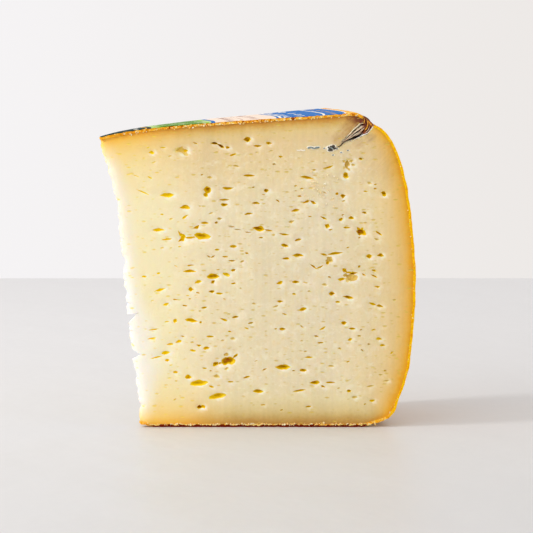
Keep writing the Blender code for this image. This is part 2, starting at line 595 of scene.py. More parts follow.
    def surface(
        self, colour: Socket, roughness: Signal | float, normal: Socket,
        gloss: float = 0.5, glow: Glow | None = None,
    ) -> Material:
        """Closes the tree with a Principled surface.

        Args:
            colour: Its base colour.
            roughness: How matt it is.
            normal: Its relief.
            gloss: Its specular level.
            glow: How light spreads under it, if it does.

        Returns:
            The material.
        """
        sockets = {
            "Base Color": colour, "Roughness": roughness, "Normal": normal, "Specular IOR Level": gloss,
        }
        if glow:
            sockets |= glow.sockets()
        shader = self.node("ShaderNodeBsdfPrincipled", {}, sockets)
        self.node("ShaderNodeOutputMaterial", {}, {"Surface": shader.outputs[0]})
        return self.material


@dataclass(frozen=True)
class Depths:
    """How deep a point of a shader lies under the wheel's surface, in millimetres."""

    wheel: Wheel
    corner: float = 7.0

    def radius(self, graph: Graph) -> Signal:
        """The distance from the wheel's axis."""
        return graph.length(graph.x, graph.y)

    def under_top(self, graph: Graph) -> Signal:
        """The depth under the dished top."""
        wheel = self.wheel
        radius = self.radius(graph)
        sunk = (radius * (-1 / wheel.dish_reach)).exp() * wheel.dish_drop
        return wheel.dish_base + radius * wheel.dish_slope - sunk - graph.z

    def inside_rim(self, graph: Graph) -> Signal:
        """The level distance in from the rim's bulge."""
        wheel = self.wheel
        line = [(height, radius) for radius, height in ((wheel.flat_bottom, 0.0), *wheel.rim)]
        return graph.curve(graph.z, line, wheel.height, wheel.radius) - self.radius(graph)

    def from_thin_edge(self, graph: Graph) -> Signal:
        """The level distance from the wedge's thin edge."""
        line = self.wheel.thin
        return graph.length(graph.x - graph.curve(graph.z, line, line[-1][0], line[0][1]), graph.y)

    def all_round(self, graph: Graph) -> Signal:
        """The depth under the nearest of top, rim and bottom."""
        beside = self.under_top(graph).soft_low(self.inside_rim(graph), self.corner)
        return beside.soft_low(graph.z, self.corner)

    def off_fold(self, graph: Graph) -> Signal:
        """The distance from the mouth of the fold in the rind, in the wheel's section."""
        along, up = self.wheel.fold_mouth
        return graph.length(self.radius(graph) - along, graph.z - up)


# ---------------------------------------------------------------- finishes


@dataclass(frozen=True)
class Stain:
    """A tinted patch on the front cut face, in millimetres."""

    along: float
    up: float
    reach: float
    strength: float
    tint: tuple = srgb(112, 30, 0)


@dataclass(frozen=True)
class Finish:
    """A look for pieces of the wheel, with the name of its material."""

    wheel: Wheel
    name: str

    def dress(self) -> Material:
        """Builds the material."""
        return self.lay(Graph(self.name, self.wheel.foot))

    def lay(self, graph: Graph) -> Material:
        """Fills the material's node tree."""
        raise NotImplementedError


@dataclass(frozen=True)
class PasteFinish(Finish):
    """The cut cheese: cream in the middle, golden towards the rind, paler where the thin edge crumbles. It
    has a painted glow and a painted highlight near the thin edge, and a painted highlight on the eyes' lower
    right lips.
    """

    name: str = "goat_cheese_paste"
    deepest: float = 30.0
    under_rim: tuple = tints(
        (0.8, 244, 168, 0), (1.6, 240, 176, 34), (2.6, 239, 187, 78), (4.5, 238, 199, 117),
        (6.5, 238, 208, 143), (10.0, 238, 215, 161), (16.0, 238, 221, 177), (30.0, 237, 224, 190),
    )
    under_top: tuple = tints(
        (0.6, 208, 137, 24), (1.4, 213, 149, 48), (2.2, 216, 167, 77), (3.2, 225, 190, 110),
        (5.0, 232, 207, 147), (8.5, 233, 209, 158), (16.0, 236, 216, 168), (30.0, 237, 224, 188),
    )
    over_bottom: tuple = tints(
        (0.8, 198, 146, 64), (1.8, 193, 147, 66), (3.0, 203, 166, 92), (4.4, 214, 188, 122),
        (6.0, 225, 205, 148), (10.0, 235, 221, 176), (16.0, 237, 224, 188),
    )
    deepest_tip: float = 26.0
    # A painted glow: brighter, more golden layers near the thin edge, in place of light shining through it.
    painted_tip_glow: tuple = tints(
        (0.8, 255, 174, 30), (2.2, 255, 197, 74), (4.5, 255, 212, 118), (8.0, 255, 223, 148),
        (13.0, 255, 231, 172), (26.0, 255, 239, 196),
    )
    tan: tuple = srgb(186, 132, 56)
    stains: tuple[Stain, ...] = (
        Stain(91.2, 107.7, 1.9, 1.0), Stain(90.2, 106.8, 1.6, 1.0), Stain(88.8, 107.9, 2.2, 0.7),
        Stain(88.0, 105.6, 2.4, 0.5, tan), Stain(86.6, 103.4, 2.6, 0.6, tan),
        Stain(83.4, 100.4, 2.2, 0.45, tan), Stain(90.5, 99.8, 2.0, 0.3, tan), Stain(94.6, 101.2, 1.6, 0.3),
        Stain(98.0, 94.0, 9.0, 0.12),
    )
    pin_eye: tuple = srgb(220, 192, 78)
    # lit_pin is a painted glow on the pin eyes near the thin edge.
    lit_pin: tuple = srgb(255, 222, 74)
    chalk: tuple = srgb(252, 244, 222)
    butter: tuple = srgb(236, 212, 142)
    # The crumbling side's pale colours: partly its own drier colour, partly a painted highlight where the key
    # light strikes it.
    crumbled_with_highlight: tuple = srgb(255, 250, 240)
    creamy: tuple = srgb(249, 238, 220)
    # lip colours pale flecks, and is also the painted highlight on the eyes' lower right lips.
    lip: tuple = srgb(255, 250, 234)
    roughness: float = 0.42
    glow: Glow = Glow(0.5, 2.2, 0.7, 0.35)

    def colour(self, graph: Graph) -> Socket:
        """The colour all over the cut cheese."""
        fine = graph.noise(1.1, 3.0) - 0.5
        wander = (graph.noise(5.0, 4.0) - 0.5) * 1.8 + fine * 0.8
        colour = self._painted_knife_bands(graph, fine, self._layered(graph, wander))
        return self._crumbling(graph, fine, wander, self._stained(graph, fine, colour))

    def _layered(self, graph: Graph, wander: Signal) -> Socket:
        """The layers under the top, the rim and the bottom, and the pale and buttery clouds inside them."""
        depths = Depths(self.wheel)
        top, rim = depths.under_top(graph), depths.inside_rim(graph)
        depth = depths.all_round(graph) + wander
        layers = [
            graph.strata(depth, layers, self.deepest)
            for layers in (self.under_top, self.under_rim, self.over_bottom)
        ]
        inner = depth.step(7.0, 14.0)
        flecks = graph.noise(0.9, 3.0, stretch=(1.5, 1.5, 1), warp=0.4).step(0.56, 0.72)
        return graph.coats(
            layers[0],
            ((top.low(graph.z) - rim).step(-5.0, 5.0), layers[1]),
            ((top.low(rim) - graph.z).step(-4.0, 5.0), layers[2]),
            (graph.noise(2.6, 4.0, warp=0.5).step(0.5, 0.72) * inner * 0.4, self.chalk),
            (graph.noise(1.8, 3.0, warp=0.4).step(0.5, 0.72) * inner * 0.35, self.butter),
            (flecks * inner * 0.26, self.lip),
        )

    def _painted_knife_bands(self, graph: Graph, fine: Signal, colour: Socket) -> Socket:
        """The colour with painted bands of light and shade, which the knife's faint upright waves would cast.
        """
        broad = graph.noise(15.0, 2.0, stretch=(1, 1, 7)).step(0.3, 0.7, 0.97, 1.03)
        narrow = graph.noise(1.5, 2.0, stretch=(1, 1, 16)).step(0.36, 0.64, 0.985, 1.015)
        return graph.mix(1.0, colour, graph.grey(broad * (fine * 0.07 + 1.0) * narrow), "MULTIPLY")

    def _stained(self, graph: Graph, fine: Signal, colour: Socket) -> Socket:
        """The colour with the streaked stains round the fold in the front cut face."""
        along_fold = graph.combine(X=(graph.x + graph.z) * 0.12, Z=(graph.x - graph.z) * 0.7)
        streaks = graph.noise(0.9, 3.0, place=along_fold).step(0.38, 0.58, 0.6, 1.0)
        streaks = streaks * graph.y.fall(2.0, 8.0)
        for stain in self.stains:
            off = graph.length(graph.x - stain.along, graph.z - stain.up) + fine * 1.5
            share = off.step(stain.reach * 0.3, stain.reach * 1.6, stain.strength, 0.0)
            colour = graph.mix(share * streaks, colour, stain.tint)
        return colour

    def _crumbling(self, graph: Graph, fine: Signal, wander: Signal, colour: Socket) -> Socket:
        """The colour with a painted glow near the thin edge, golden at its corners, and its pale crumbling
        side between them, which is partly its own drier colour and partly a painted highlight.
        """
        depths = Depths(self.wheel)
        tip = depths.from_thin_edge(graph) + fine * 1.6
        corner = depths.under_top(graph).low(graph.z * 1.25) + wander
        wide = 1 - abs(graph.z - 28).step(6.0, 24.0, 0.48, 0.0)
        # Pale crumbling side, partly painted highlight.
        pale = graph.mix(graph.z.step(44.0, 76.0), self.crumbled_with_highlight, self.creamy)
        return graph.coats(
            colour,
            # Painted glow near the thin edge.
            (tip.fall(5.0, 38.0), graph.strata(corner, self.painted_tip_glow, self.deepest_tip)),
            ((tip * wide).step(0.6, 7.0, 0.9, 0.0) * corner.step(0.52, 13.0), pale),
        )

    def lay(self, graph: Graph) -> Material:
        """Fills the material's node tree."""
        crumb = graph.noise(1.7, 3.0)
        speck, own = graph.spots(2.0, stretch=(2.1, 2.1, 0.8))
        pin = speck.fall(0.15, 0.55) * own.step(0.52, 0.56)
        speck, own = graph.spots(1.5, stretch=(1.9, 1.9, 0.8))
        pin = pin.high(speck.step(0.1, 0.42, 0.62, 0.0) * own.step(0.42, 0.46))
        # A painted glow near the thin edge brightens the pin eyes there.
        painted_glow = Depths(self.wheel).from_thin_edge(graph).fall(10.0, 36.0)
        # The eyes' lower right lips get a painted highlight from a UV map.
        lip_highlight = graph.split(graph.node("ShaderNodeUVMap", {"uv_map": EyeField.LIP_HIGHLIGHT}).outputs["UV"])[0]
        colour = graph.coats(
            self.colour(graph),
            (pin * 0.75, graph.mix(painted_glow, self.pin_eye, self.lit_pin)),
            (lip_highlight * 0.85, self.lip),
        )
        relief = graph.bump(graph.noise(0.5, 2.0), 0.05, graph.bump(crumb - pin * 0.7, 0.14))
        return graph.surface(colour, self.roughness + (crumb - 0.5) * 0.25, relief, gloss=0.4, glow=self.glow)


@dataclass(frozen=True)
class EyeFinish(Finish):
    """The wall of an eye: a smooth, moist golden yellow, with a painted highlight at its pale lip, painted
    shade that darkens it with depth, and a painted glow near the thin edge.
    """

    name: str = "goat_cheese_eye"
    # The pale lip colour is a painted highlight.
    lip: tuple = srgb(255, 250, 232)
    straw: tuple = srgb(238, 212, 74)
    # The lit colours are a painted glow near the thin edge.
    lit_straw: tuple = srgb(255, 232, 64)
    gold: tuple = srgb(232, 194, 12)
    lit_gold: tuple = srgb(255, 218, 0)
    # brown and the reddish colour below it are painted shade in the deeper walls.
    brown: tuple = srgb(190, 134, 0)
    deepest_shade: tuple = srgb(200, 84, 10)
    glow: Glow = Glow(0.25, 1.2, 0.7, 0.1)

    def lay(self, graph: Graph) -> Material:
        """Fills the material's node tree."""
        inwards = self._below_nearer_face(graph) + (graph.noise(1.2, 3.0) - 0.5) * 0.35
        tip = Depths(self.wheel).from_thin_edge(graph)
        # Painted glow near the thin edge. Below: a painted highlight at the lip, then the paste and golden
        # walls, then painted shade with depth, which the glow holds back.
        painted_glow = tip.fall(8.0, 36.0)
        colour = graph.coats(
            self.lip,
            (inwards.step(-0.02, 0.06), PasteFinish(self.wheel).colour(graph)),
            (inwards.step(-0.02, 0.1), graph.mix(painted_glow, self.straw, self.lit_straw)),
            (inwards.step(0.08, 0.42), graph.mix(painted_glow, self.gold, self.lit_gold)),
            (inwards.step(0.75, 1.7) * tip.step(8.0, 36.0, 0.35, 1.0), self.brown),
            (inwards.step(1.5, 2.1), self.deepest_shade),
        )
        return graph.surface(colour, 0.4, graph.bump(graph.noise(0.8, 2.0), 0.06), gloss=0.12, glow=self.glow)

    def _below_nearer_face(self, graph: Graph) -> Signal:
        """How deep a point lies under the nearer cut face, in millimetres."""
        wheel = self.wheel
        back = wheel.outward(CutFace.BACK)
        top = wheel.thin[-1][0]
        lean = (1 - graph.z / top) * wheel.thin[0][1] - wheel.blunt
        share = 1 - Depths(wheel).radius(graph) / wheel.radius
        from_back = (graph.x - lean * share) * -back.x - graph.y * back.y
        return graph.y.low(from_back)


@dataclass(frozen=True)
class SkinFinish(Finish):
    """The outside of the washed rind: golden, with orange and brown patches, bloom and a cloth's print."""

    name: str = "washed_rind"
    gold: tuple = srgb(255, 188, 0)
    orange: tuple = srgb(236, 154, 12)
    brown: tuple = srgb(176, 104, 34)
    bloom: tuple = srgb(250, 216, 130)
    maroon: tuple = srgb(70, 24, 12)
    thread: float = 1.1
    glow: Glow = Glow(0.25, 1.5, 0.5, 0.1)

    def lay(self, graph: Graph) -> Material:
        """Fills the material's node tree."""
        depths = Depths(self.wheel)
        mottle = graph.noise(3.2, 4.0, warp=0.8)
        # A darker maroon patch round the fold's mouth.
        by_fold_mouth = (depths.off_fold(graph) + (mottle - 0.5) * 3.0).fall(1.6, 3.4) * graph.y.fall(3.0, 20.0)
        colour = graph.coats(
            self.gold,
            (graph.noise(14.0, 5.0, warp=0.4).step(0.38, 0.66), self.orange),
            (mottle.step(0.54, 0.78) * 0.5, self.brown),
            (graph.noise(4.5, 5.0, warp=1.2).step(0.57, 0.72) * 0.5, self.bloom),
            (by_fold_mouth * 0.94, self.maroon),
        )
        turn = graph.y.angle_from(graph.x) * self.wheel.radius
        weave = self._threads(turn) * self._threads(graph.z + depths.radius(graph) * 0.35)
        relief = graph.bump(weave, 0.05, graph.bump(mottle + graph.noise(1.1, 3.0) * 0.5, 0.22))
        return graph.surface(colour, 0.5 + (mottle - 0.5) * 0.5, relief, gloss=0.25, glow=self.glow)

    def _threads(self, along: Signal) -> Signal:
        """The ridges of one set of the cloth's threads."""
        return (along * (2 * math.pi / self.thread)).sine() * 0.5 + 0.5


@dataclass(frozen=True)
class RindCutFinish(Finish):
    """The rind where the knife went through it: golden on the rim, crumbly orange on top and below, with a
    painted glow near the thin edge and a dark foot that is partly its own underside and partly painted
    contact shade.
    """

    name: str = "rind_cut"
    crumbling: tuple = tints(
        (0.34, 136, 54, 6), (0.41, 214, 120, 12), (0.5, 250, 172, 30), (0.6, 255, 206, 96),
        (0.7, 255, 238, 190),
    )
    gold: tuple = srgb(255, 198, 0)
    dusk: tuple = srgb(250, 176, 2)
    amber: tuple = srgb(228, 142, 0)
    # A painted glow near the thin edge.
    painted_glow_orange: tuple = srgb(255, 172, 20)
    maroon: tuple = srgb(74, 24, 10)
    # The dark foot: partly the rind's own dark underside, partly painted contact shade along the floor.
    sole_shade: tuple = srgb(112, 28, 0)
    fringe: tuple = srgb(255, 226, 140)
    sole_shade_height: float = 0.86
    glow: Glow = Glow(0.25, 1.0, 0.55, 0.1)

    def lay(self, graph: Graph) -> Material:
        """Fills the material's node tree."""
        depths = Depths(self.wheel)
        tip = depths.from_thin_edge(graph)
        mottle = graph.noise(1.6, 4.0, warp=0.5)
        grains = graph.noise(0.75, 3.0, warp=0.6)
        golden = graph.coats(
            self.gold,
            (mottle.step(0.5, 0.7), self.dusk),
            (grains.step(0.54, 0.66) * 0.6, self.amber),
            (grains.step(0.3, 0.42, 0.4, 0.0), self.fringe),
        )
        rim = depths.radius(graph).step(86.0, 98.0) * graph.z.step(1.0, 6.0)
        under = graph.z - (graph.noise(1.9, 4.0, warp=0.5) - 0.5) * 2.6 - self.sole_shade_height
        below = graph.z.fall(1.2, 1.7) * tip.step(1.5, 5.0, 0.2, 1.0)
        # A darker maroon patch round the fold's mouth.
        by_fold_mouth = (depths.off_fold(graph) + (mottle - 0.5) * 2.4).fall(1.6, 3.2)
        colour = graph.coats(
            graph.ramp(graph.noise(1.3, 4.0, warp=0.8), self.crumbling),
            (rim, golden),
            # Painted glow near the thin edge.
            (tip.step(3.0, 30.0, 0.6, 0.0), self.painted_glow_orange),
            (under.fall(0.35, 0.5) * below * mottle.step(0.36, 0.5), self.fringe),
            # The dark foot: the rind's own underside with painted contact shade.
            (under.fall(-0.05, 0.08) * below, self.sole_shade),
            (by_fold_mouth * 0.92, self.maroon),
        )
        return graph.surface(colour, 0.5, graph.bump(mottle, 0.25), gloss=0.06, glow=self.glow)


@dataclass(frozen=True)
class PaperFinish(Finish):
    """The printed label: plain rings of leaves, lozenges and dots round the wheel's axis, by their radius."""

    name: str = "printed_paper"
    teal: tuple = srgb(4, 44, 42)
    leaf: tuple = srgb(130, 186, 0)
    moss: tuple = srgb(64, 124, 0)
    paper: tuple = srgb(240, 236, 222)
    blush: tuple = srgb(238, 218, 200)
    red: tuple = srgb(122, 30, 24)
    blue: tuple = srgb(0, 104, 184)
    gold: tuple = srgb(206, 160, 66)
    leaf_count: int = 40
    lozenge_count: int = 56
    scallop_count: int = 64

    def lay(self, graph: Graph) -> Material:
        """Fills the material's node tree."""
        radius = Depths(self.wheel).radius(graph) + (graph.noise(2.0, 2.0) - 0.5) * 0.25
        turn = graph.y.angle_from(graph.x)
        wash = graph.noise(2.2, 2.0).step(0.42, 0.54, 0.25, 0.9)
        worn = graph.noise(2.4, 5.0, warp=0.6).step(0.66, 0.74) * 0.5
        leaves = self._leaves(radius, turn, 19.8, 30.5, 0.0).high(self._leaves(radius, turn, 27.0, 38.8, 0.5))
        lozenges = self._lozenges(radius, turn, 46.0, 0.0).high(self._lozenges(radius, turn, 54.5, 0.5))
        colour = graph.coats(
            self.paper,
            (self._within(radius, 0.0, 19.0), self.teal),
            (self._dots(radius, turn, 14.0, 24, 0.8), self.paper),
            (self._within(radius, 16.8, 17.4), self.gold),
            (self._within(radius, 19.0, 39.6) * wash, self.leaf),
            (leaves, self.moss),
            (self._within(radius, 39.6, 41.0), self.blue),
            (self._within(radius, 41.0, 62.0), self.blush),
            (lozenges.high(self._dots(radius, turn, 50.2, 112, 0.45)), self.red),
            (self._within(radius, 62.0, 85.6), self.blue),
            (self._within(radius, 62.9, 63.8), self.paper),
            (self._scallops(radius, turn, 66.0) * 0.8, self.paper),
            (self._dots(radius, turn, 70.5, 48, 1.5), self.paper),
            (self._dots(radius, turn, 70.5, 48, 0.7), self.blue),
            (self._within(radius, 78.0, 78.8), self.paper),
            (self._dots(radius, turn, 81.8, 96, 0.9), self.gold),
            (worn, self.paper),
        )
        fibres = graph.noise(0.35, 2.0, stretch=(3, 1, 1))
        relief = graph.bump(fibres, 0.03, graph.bump(graph.noise(7.0, 3.0), 0.35))
        return graph.surface(colour, 0.6 + worn * 0.2, relief, gloss=0.12)

    @staticmethod
    def _within(radius: Signal, inner: float, outer: float) -> Signal:
        """A ring between two radii."""
        edge = 0.12
        return radius.step(inner - edge, inner + edge) * radius.fall(outer - edge, outer + edge)

    @staticmethod
    def _cell(turn: Signal, count: int, shift: float = 0.0) -> Signal:
        """The angle from the middle of one of a ring's equal cells."""
        period = 2 * math.pi / count
        return (turn - period * (0.25 + shift)).around(period)

    def _dots(self, radius: Signal, turn: Signal, at: float, count: int, size: float) -> Signal:
        """A ring of dots."""
        off = radius.graph.length(radius - at, self._cell(turn, count) * at)
        return off.fall(size - 0.15, size + 0.15)

    def _leaves(self, radius: Signal, turn: Signal, inner: float, outer: float, shift: float) -> Signal:
        """A ring of pointed leaves, each with a pale rib."""
        middle = (inner + outer) / 2
        rise = (abs(radius - middle) * (2 / (outer - inner))) ** 2.0
        width = (1 - rise) * (math.pi * middle / self.leaf_count * 0.95)
        across = abs(self._cell(turn, self.leaf_count, shift)) * middle
        return (width - across).step(0.0, 0.25) * across.step(0.1, 0.25)

    def _lozenges(self, radius: Signal, turn: Signal, at: float, shift: float) -> Signal:
        """A ring of lozenges."""
        reach = abs(radius - at) * 0.6 + abs(self._cell(turn, self.lozenge_count, shift) * at)
        return reach.fall(1.1, 1.4)

    def _scallops(self, radius: Signal, turn: Signal, at: float) -> Signal:
        """A ring of scallops that open outwards."""
        bow = abs(self._cell(turn, self.scallop_count) * at) * 0.9
        return (radius - at - 0.8 + bow).fall(-0.15, 0.15) * radius.step(at - 1.4, at - 1.2)


@dataclass(frozen=True)
class MouldFinish(Finish):
    """The crumpled rind and grey mould inside the fold, placed by the lining's own UV map, with painted shade
    in its gaps and grooves.
    """

    name: str = "fold_mould"
    ash: tuple = srgb(222, 202, 176)
    taupe: tuple = srgb(194, 166, 138)
    slate: tuple = srgb(122, 104, 90)
    # The darkest tint: painted shade in the lining's gaps and in the grooves of its streaks.
    crease_shade: tuple = srgb(36, 20, 10)
    maroon: tuple = srgb(108, 32, 4)
    rust: tuple = srgb(160, 66, 8)
    vein: tuple = srgb(244, 176, 52)
    cream: tuple = srgb(250, 234, 196)
    frost: tuple = srgb(242, 238, 232)
    glow: Glow = Glow(0.2, 1.0, 0.6, 0.3)

    def lay(self, graph: Graph) -> Material:
        """Fills the material's node tree."""
        chart = graph.node("ShaderNodeUVMap", {"uv_map": Fold.CHART}).outputs["UV"]
        ragged = graph.noise(0.16, 3.0, place=chart) - 0.5
        along, across, _ = graph.split(chart)
        across = across + ragged * 0.3
        streaks = graph.noise(0.07, 4.0, stretch=(4.0, 1, 1), warp=0.3, place=chart)
        # Its darkest streaks lie in the bump's grooves: painted shade.
        grey = graph.ramp(streaks, [
            (0.3, self.crease_shade), (0.37, self.slate), (0.43, self.taupe), (0.56, self.ash), (0.68, self.cream)
        ])
        torn = graph.coats(
            self.maroon,
            (streaks.step(0.5, 0.6), self.rust),
            (graph.noise(0.05, 3.0, place=chart).step(0.62, 0.7), self.vein),
        )
        mouth = (along + ragged * 0.4 - across * 0.16).fall(0.2, 0.28)
        seam = abs(along + ragged * 0.12 - 0.05).fall(0.012, 0.03) * across.step(0.4, 0.46)
        ridges = [
            (ridge.mask(along + ragged * 0.2, across), getattr(self, ridge.tint)) for ridge in Fold.RIDGES
        ]
        colour = graph.coats(grey, (mouth, torn), (seam * streaks.step(0.42, 0.5), self.vein), *ridges)
        return graph.surface(colour, 0.6, graph.bump(streaks, 0.3), glow=self.glow)


@dataclass(frozen=True)
class PlainFinish(Finish):
    """A finish of one colour with a little unevenness, for small things."""

    colour: tuple
    shade: tuple
    size: float = 1.0
    roughness: float = 0.6
    glow: float = 0.0

    def lay(self, graph: Graph) -> Material:
        """Fills the material's node tree."""
        clouds = graph.noise(self.size, 4.0)
        colour = graph.mix(clouds.step(0.35, 0.65), self.colour, self.shade)
        relief = graph.bump(clouds, self.size * 0.04)
        return graph.surface(colour, self.roughness, relief, glow=Glow(self.glow, 1.0, 0.7, 0.4))


@dataclass(frozen=True)
class TableFinish(Finish):
    """The pale table top, a little lighter towards its far end as painted light."""

    name: str = "table_top"
    # The lighter far end is painted light.
    near: tuple = srgb(203, 203, 203)
    far: tuple = srgb(221, 221, 222)
    cloud: float = 60.0
    fade: Pair = (-260.0, 420.0)

    def lay(self, graph: Graph) -> Material:
        """Fills the material's node tree."""
        clouds = graph.noise(self.cloud, 4.0)
        colour = graph.mix((graph.y + clouds * self.cloud).step(*self.fade), self.near, self.far)
        return graph.surface(colour, 0.45, graph.bump(clouds, 2.4))


# ---------------------------------------------------------------- making pieces


def mesh_object(name: str, mesh: Mesh) -> bpy.types.Object:
    """Makes an object of a bmesh, and frees the bmesh."""
    data = bpy.data.meshes.new(name)
    mesh.to_mesh(data)
    mesh.free()
    made = bpy.data.objects.new(name, data)
    bpy.context.scene.collection.objects.link(made)
    return made


def new_verts(made: dict) -> list[Vert]:
    """The vertices among the geometry that a bmesh operator made."""
    return [item for item in made["geom"] if isinstance(item, Vert)]


def chain(mesh: Mesh, points: Iterable[Sequence[float]]) -> list[bmesh.types.BMEdge]:
    """Adds a line of edges through the points."""
    verts = [mesh.verts.new(point) for point in points]
    return [mesh.edges.new(pair) for pair in zip(verts, verts[1:])]


def paint(verts: Iterable[Vert], number: int) -> None:
    """Gives the faces round these vertices a material number."""
    for face in {face for vert in verts for face in vert.link_faces}:
        face.material_index = number


def ball(mesh: Mesh, fineness: int, radius: float = 1.0) -> list[Vert]:
    """Adds a ball of triangles round the origin."""
    return bmesh.ops.create_icosphere(mesh, subdivisions=fineness, radius=radius)["verts"]


def rotate(mesh: Mesh, verts: Sequence[Vert], angle: float, axis: str) -> None:
    """Turns vertices round an axis through the origin. The angle is in radians."""
    bmesh.ops.rotate(mesh, verts=verts, cent=(0, 0, 0), matrix=Matrix.Rotation(angle, 3, axis))


def cut_away(mesh: Mesh, cutters: Iterable[Mesh]) -> Mesh:
    """Takes each cutter's space out of a mesh, with its material numbers on the new walls.

    Args:
        mesh: The closed mesh that is cut. It is freed.
        cutters: Closed meshes, none of which crosses itself. They are freed.

    Returns:
        The cut mesh.
    """
    body = mesh_object("uncut", mesh)
    tools = [mesh_object("cutter", cutter) for cutter in cutters]
    for tool in tools:
        boolean = body.modifiers.new("cut", "BOOLEAN")
        boolean.operation = "DIFFERENCE"
        boolean.object = tool
    graph = bpy.context.evaluated_depsgraph_get()
    cut = bmesh.new()
    evaluated = body.evaluated_get(graph)
    cut.from_mesh(evaluated.to_mesh())
    evaluated.to_mesh_clear()
    for made in [body, *tools]:
        data = made.data
        bpy.data.objects.remove(made)
        bpy.data.meshes.remove(data)
    return cut


@dataclass
class Workshop:
    """Turns meshes into the object's pieces."""

    wheel: Wheel

    def finish(
        self, name: str, mesh: Mesh, finishes: Sequence[Finish], slot: str, stands_for: str | None = None
    ) -> bpy.types.Object:
        """Puts a mesh into the frame as a piece of the wedge.

        Args:
            name: The piece's name.
            mesh: Its mesh in millimetres round the wheel's axis, which is freed.
            finishes: Its finishes, in the order of the mesh's material numbers.
            slot: The record's material slot. It is not used.
            stands_for: The CAD node that it replaces, if any.

        Returns:
            The piece.
        """
        self.wheel.into_frame(mesh)
        piece = mesh_object(name, mesh)
        for finish in finishes:
            piece.data.materials.append(finish.dress())
        piece.data.shade_smooth()
        piece.data.set_sharp_from_angle(angle=SHARP_ANGLE)
        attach(piece, "root")
        if stands_for:
            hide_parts(stands_for)
        LOG.info("%s: %d faces", name, len(piece.data.polygons))
        return piece


def spun(wheel: Wheel, mesh: Mesh, steps: int) -> None:
    """Turns all of a mesh round the wheel's axis by the wedge's angle, and mends the seams."""
    everything = [*mesh.verts, *mesh.edges, *mesh.faces]
    bmesh.ops.spin(mesh, geom=everything, axis=UP, cent=(0, 0, 0), angle=wheel.angle, steps=steps)
    bmesh.ops.remove_doubles(mesh, verts=mesh.verts, dist=0.001)
    bmesh.ops.recalc_face_normals(mesh, faces=mesh.faces)


# ---------------------------------------------------------------- eyes


class EyeForm(Enum):
    """How an eye is shaped."""

    LENS = "pointed at both ends"
    ROUND = "round"
    TORN = "with ragged corners"


@dataclass(frozen=True)
class Eye:
    """A hollow in a cut face, in millimetres, with its tilt in degrees."""

    along: float
    up: float
    length: float
    height: float
    tilt: float = 0.0
    form: EyeForm = EyeForm.LENS
    deep: float = 1.0

    def reach(self) -> float:
        """The radius of the circle round it."""
        return max(self.length, self.height) / 2


RAGGEDNESS = {EyeForm.LENS: 0.34, EyeForm.ROUND: 0.3, EyeForm.TORN: 0.6}
ROUND_BEND = 0.3

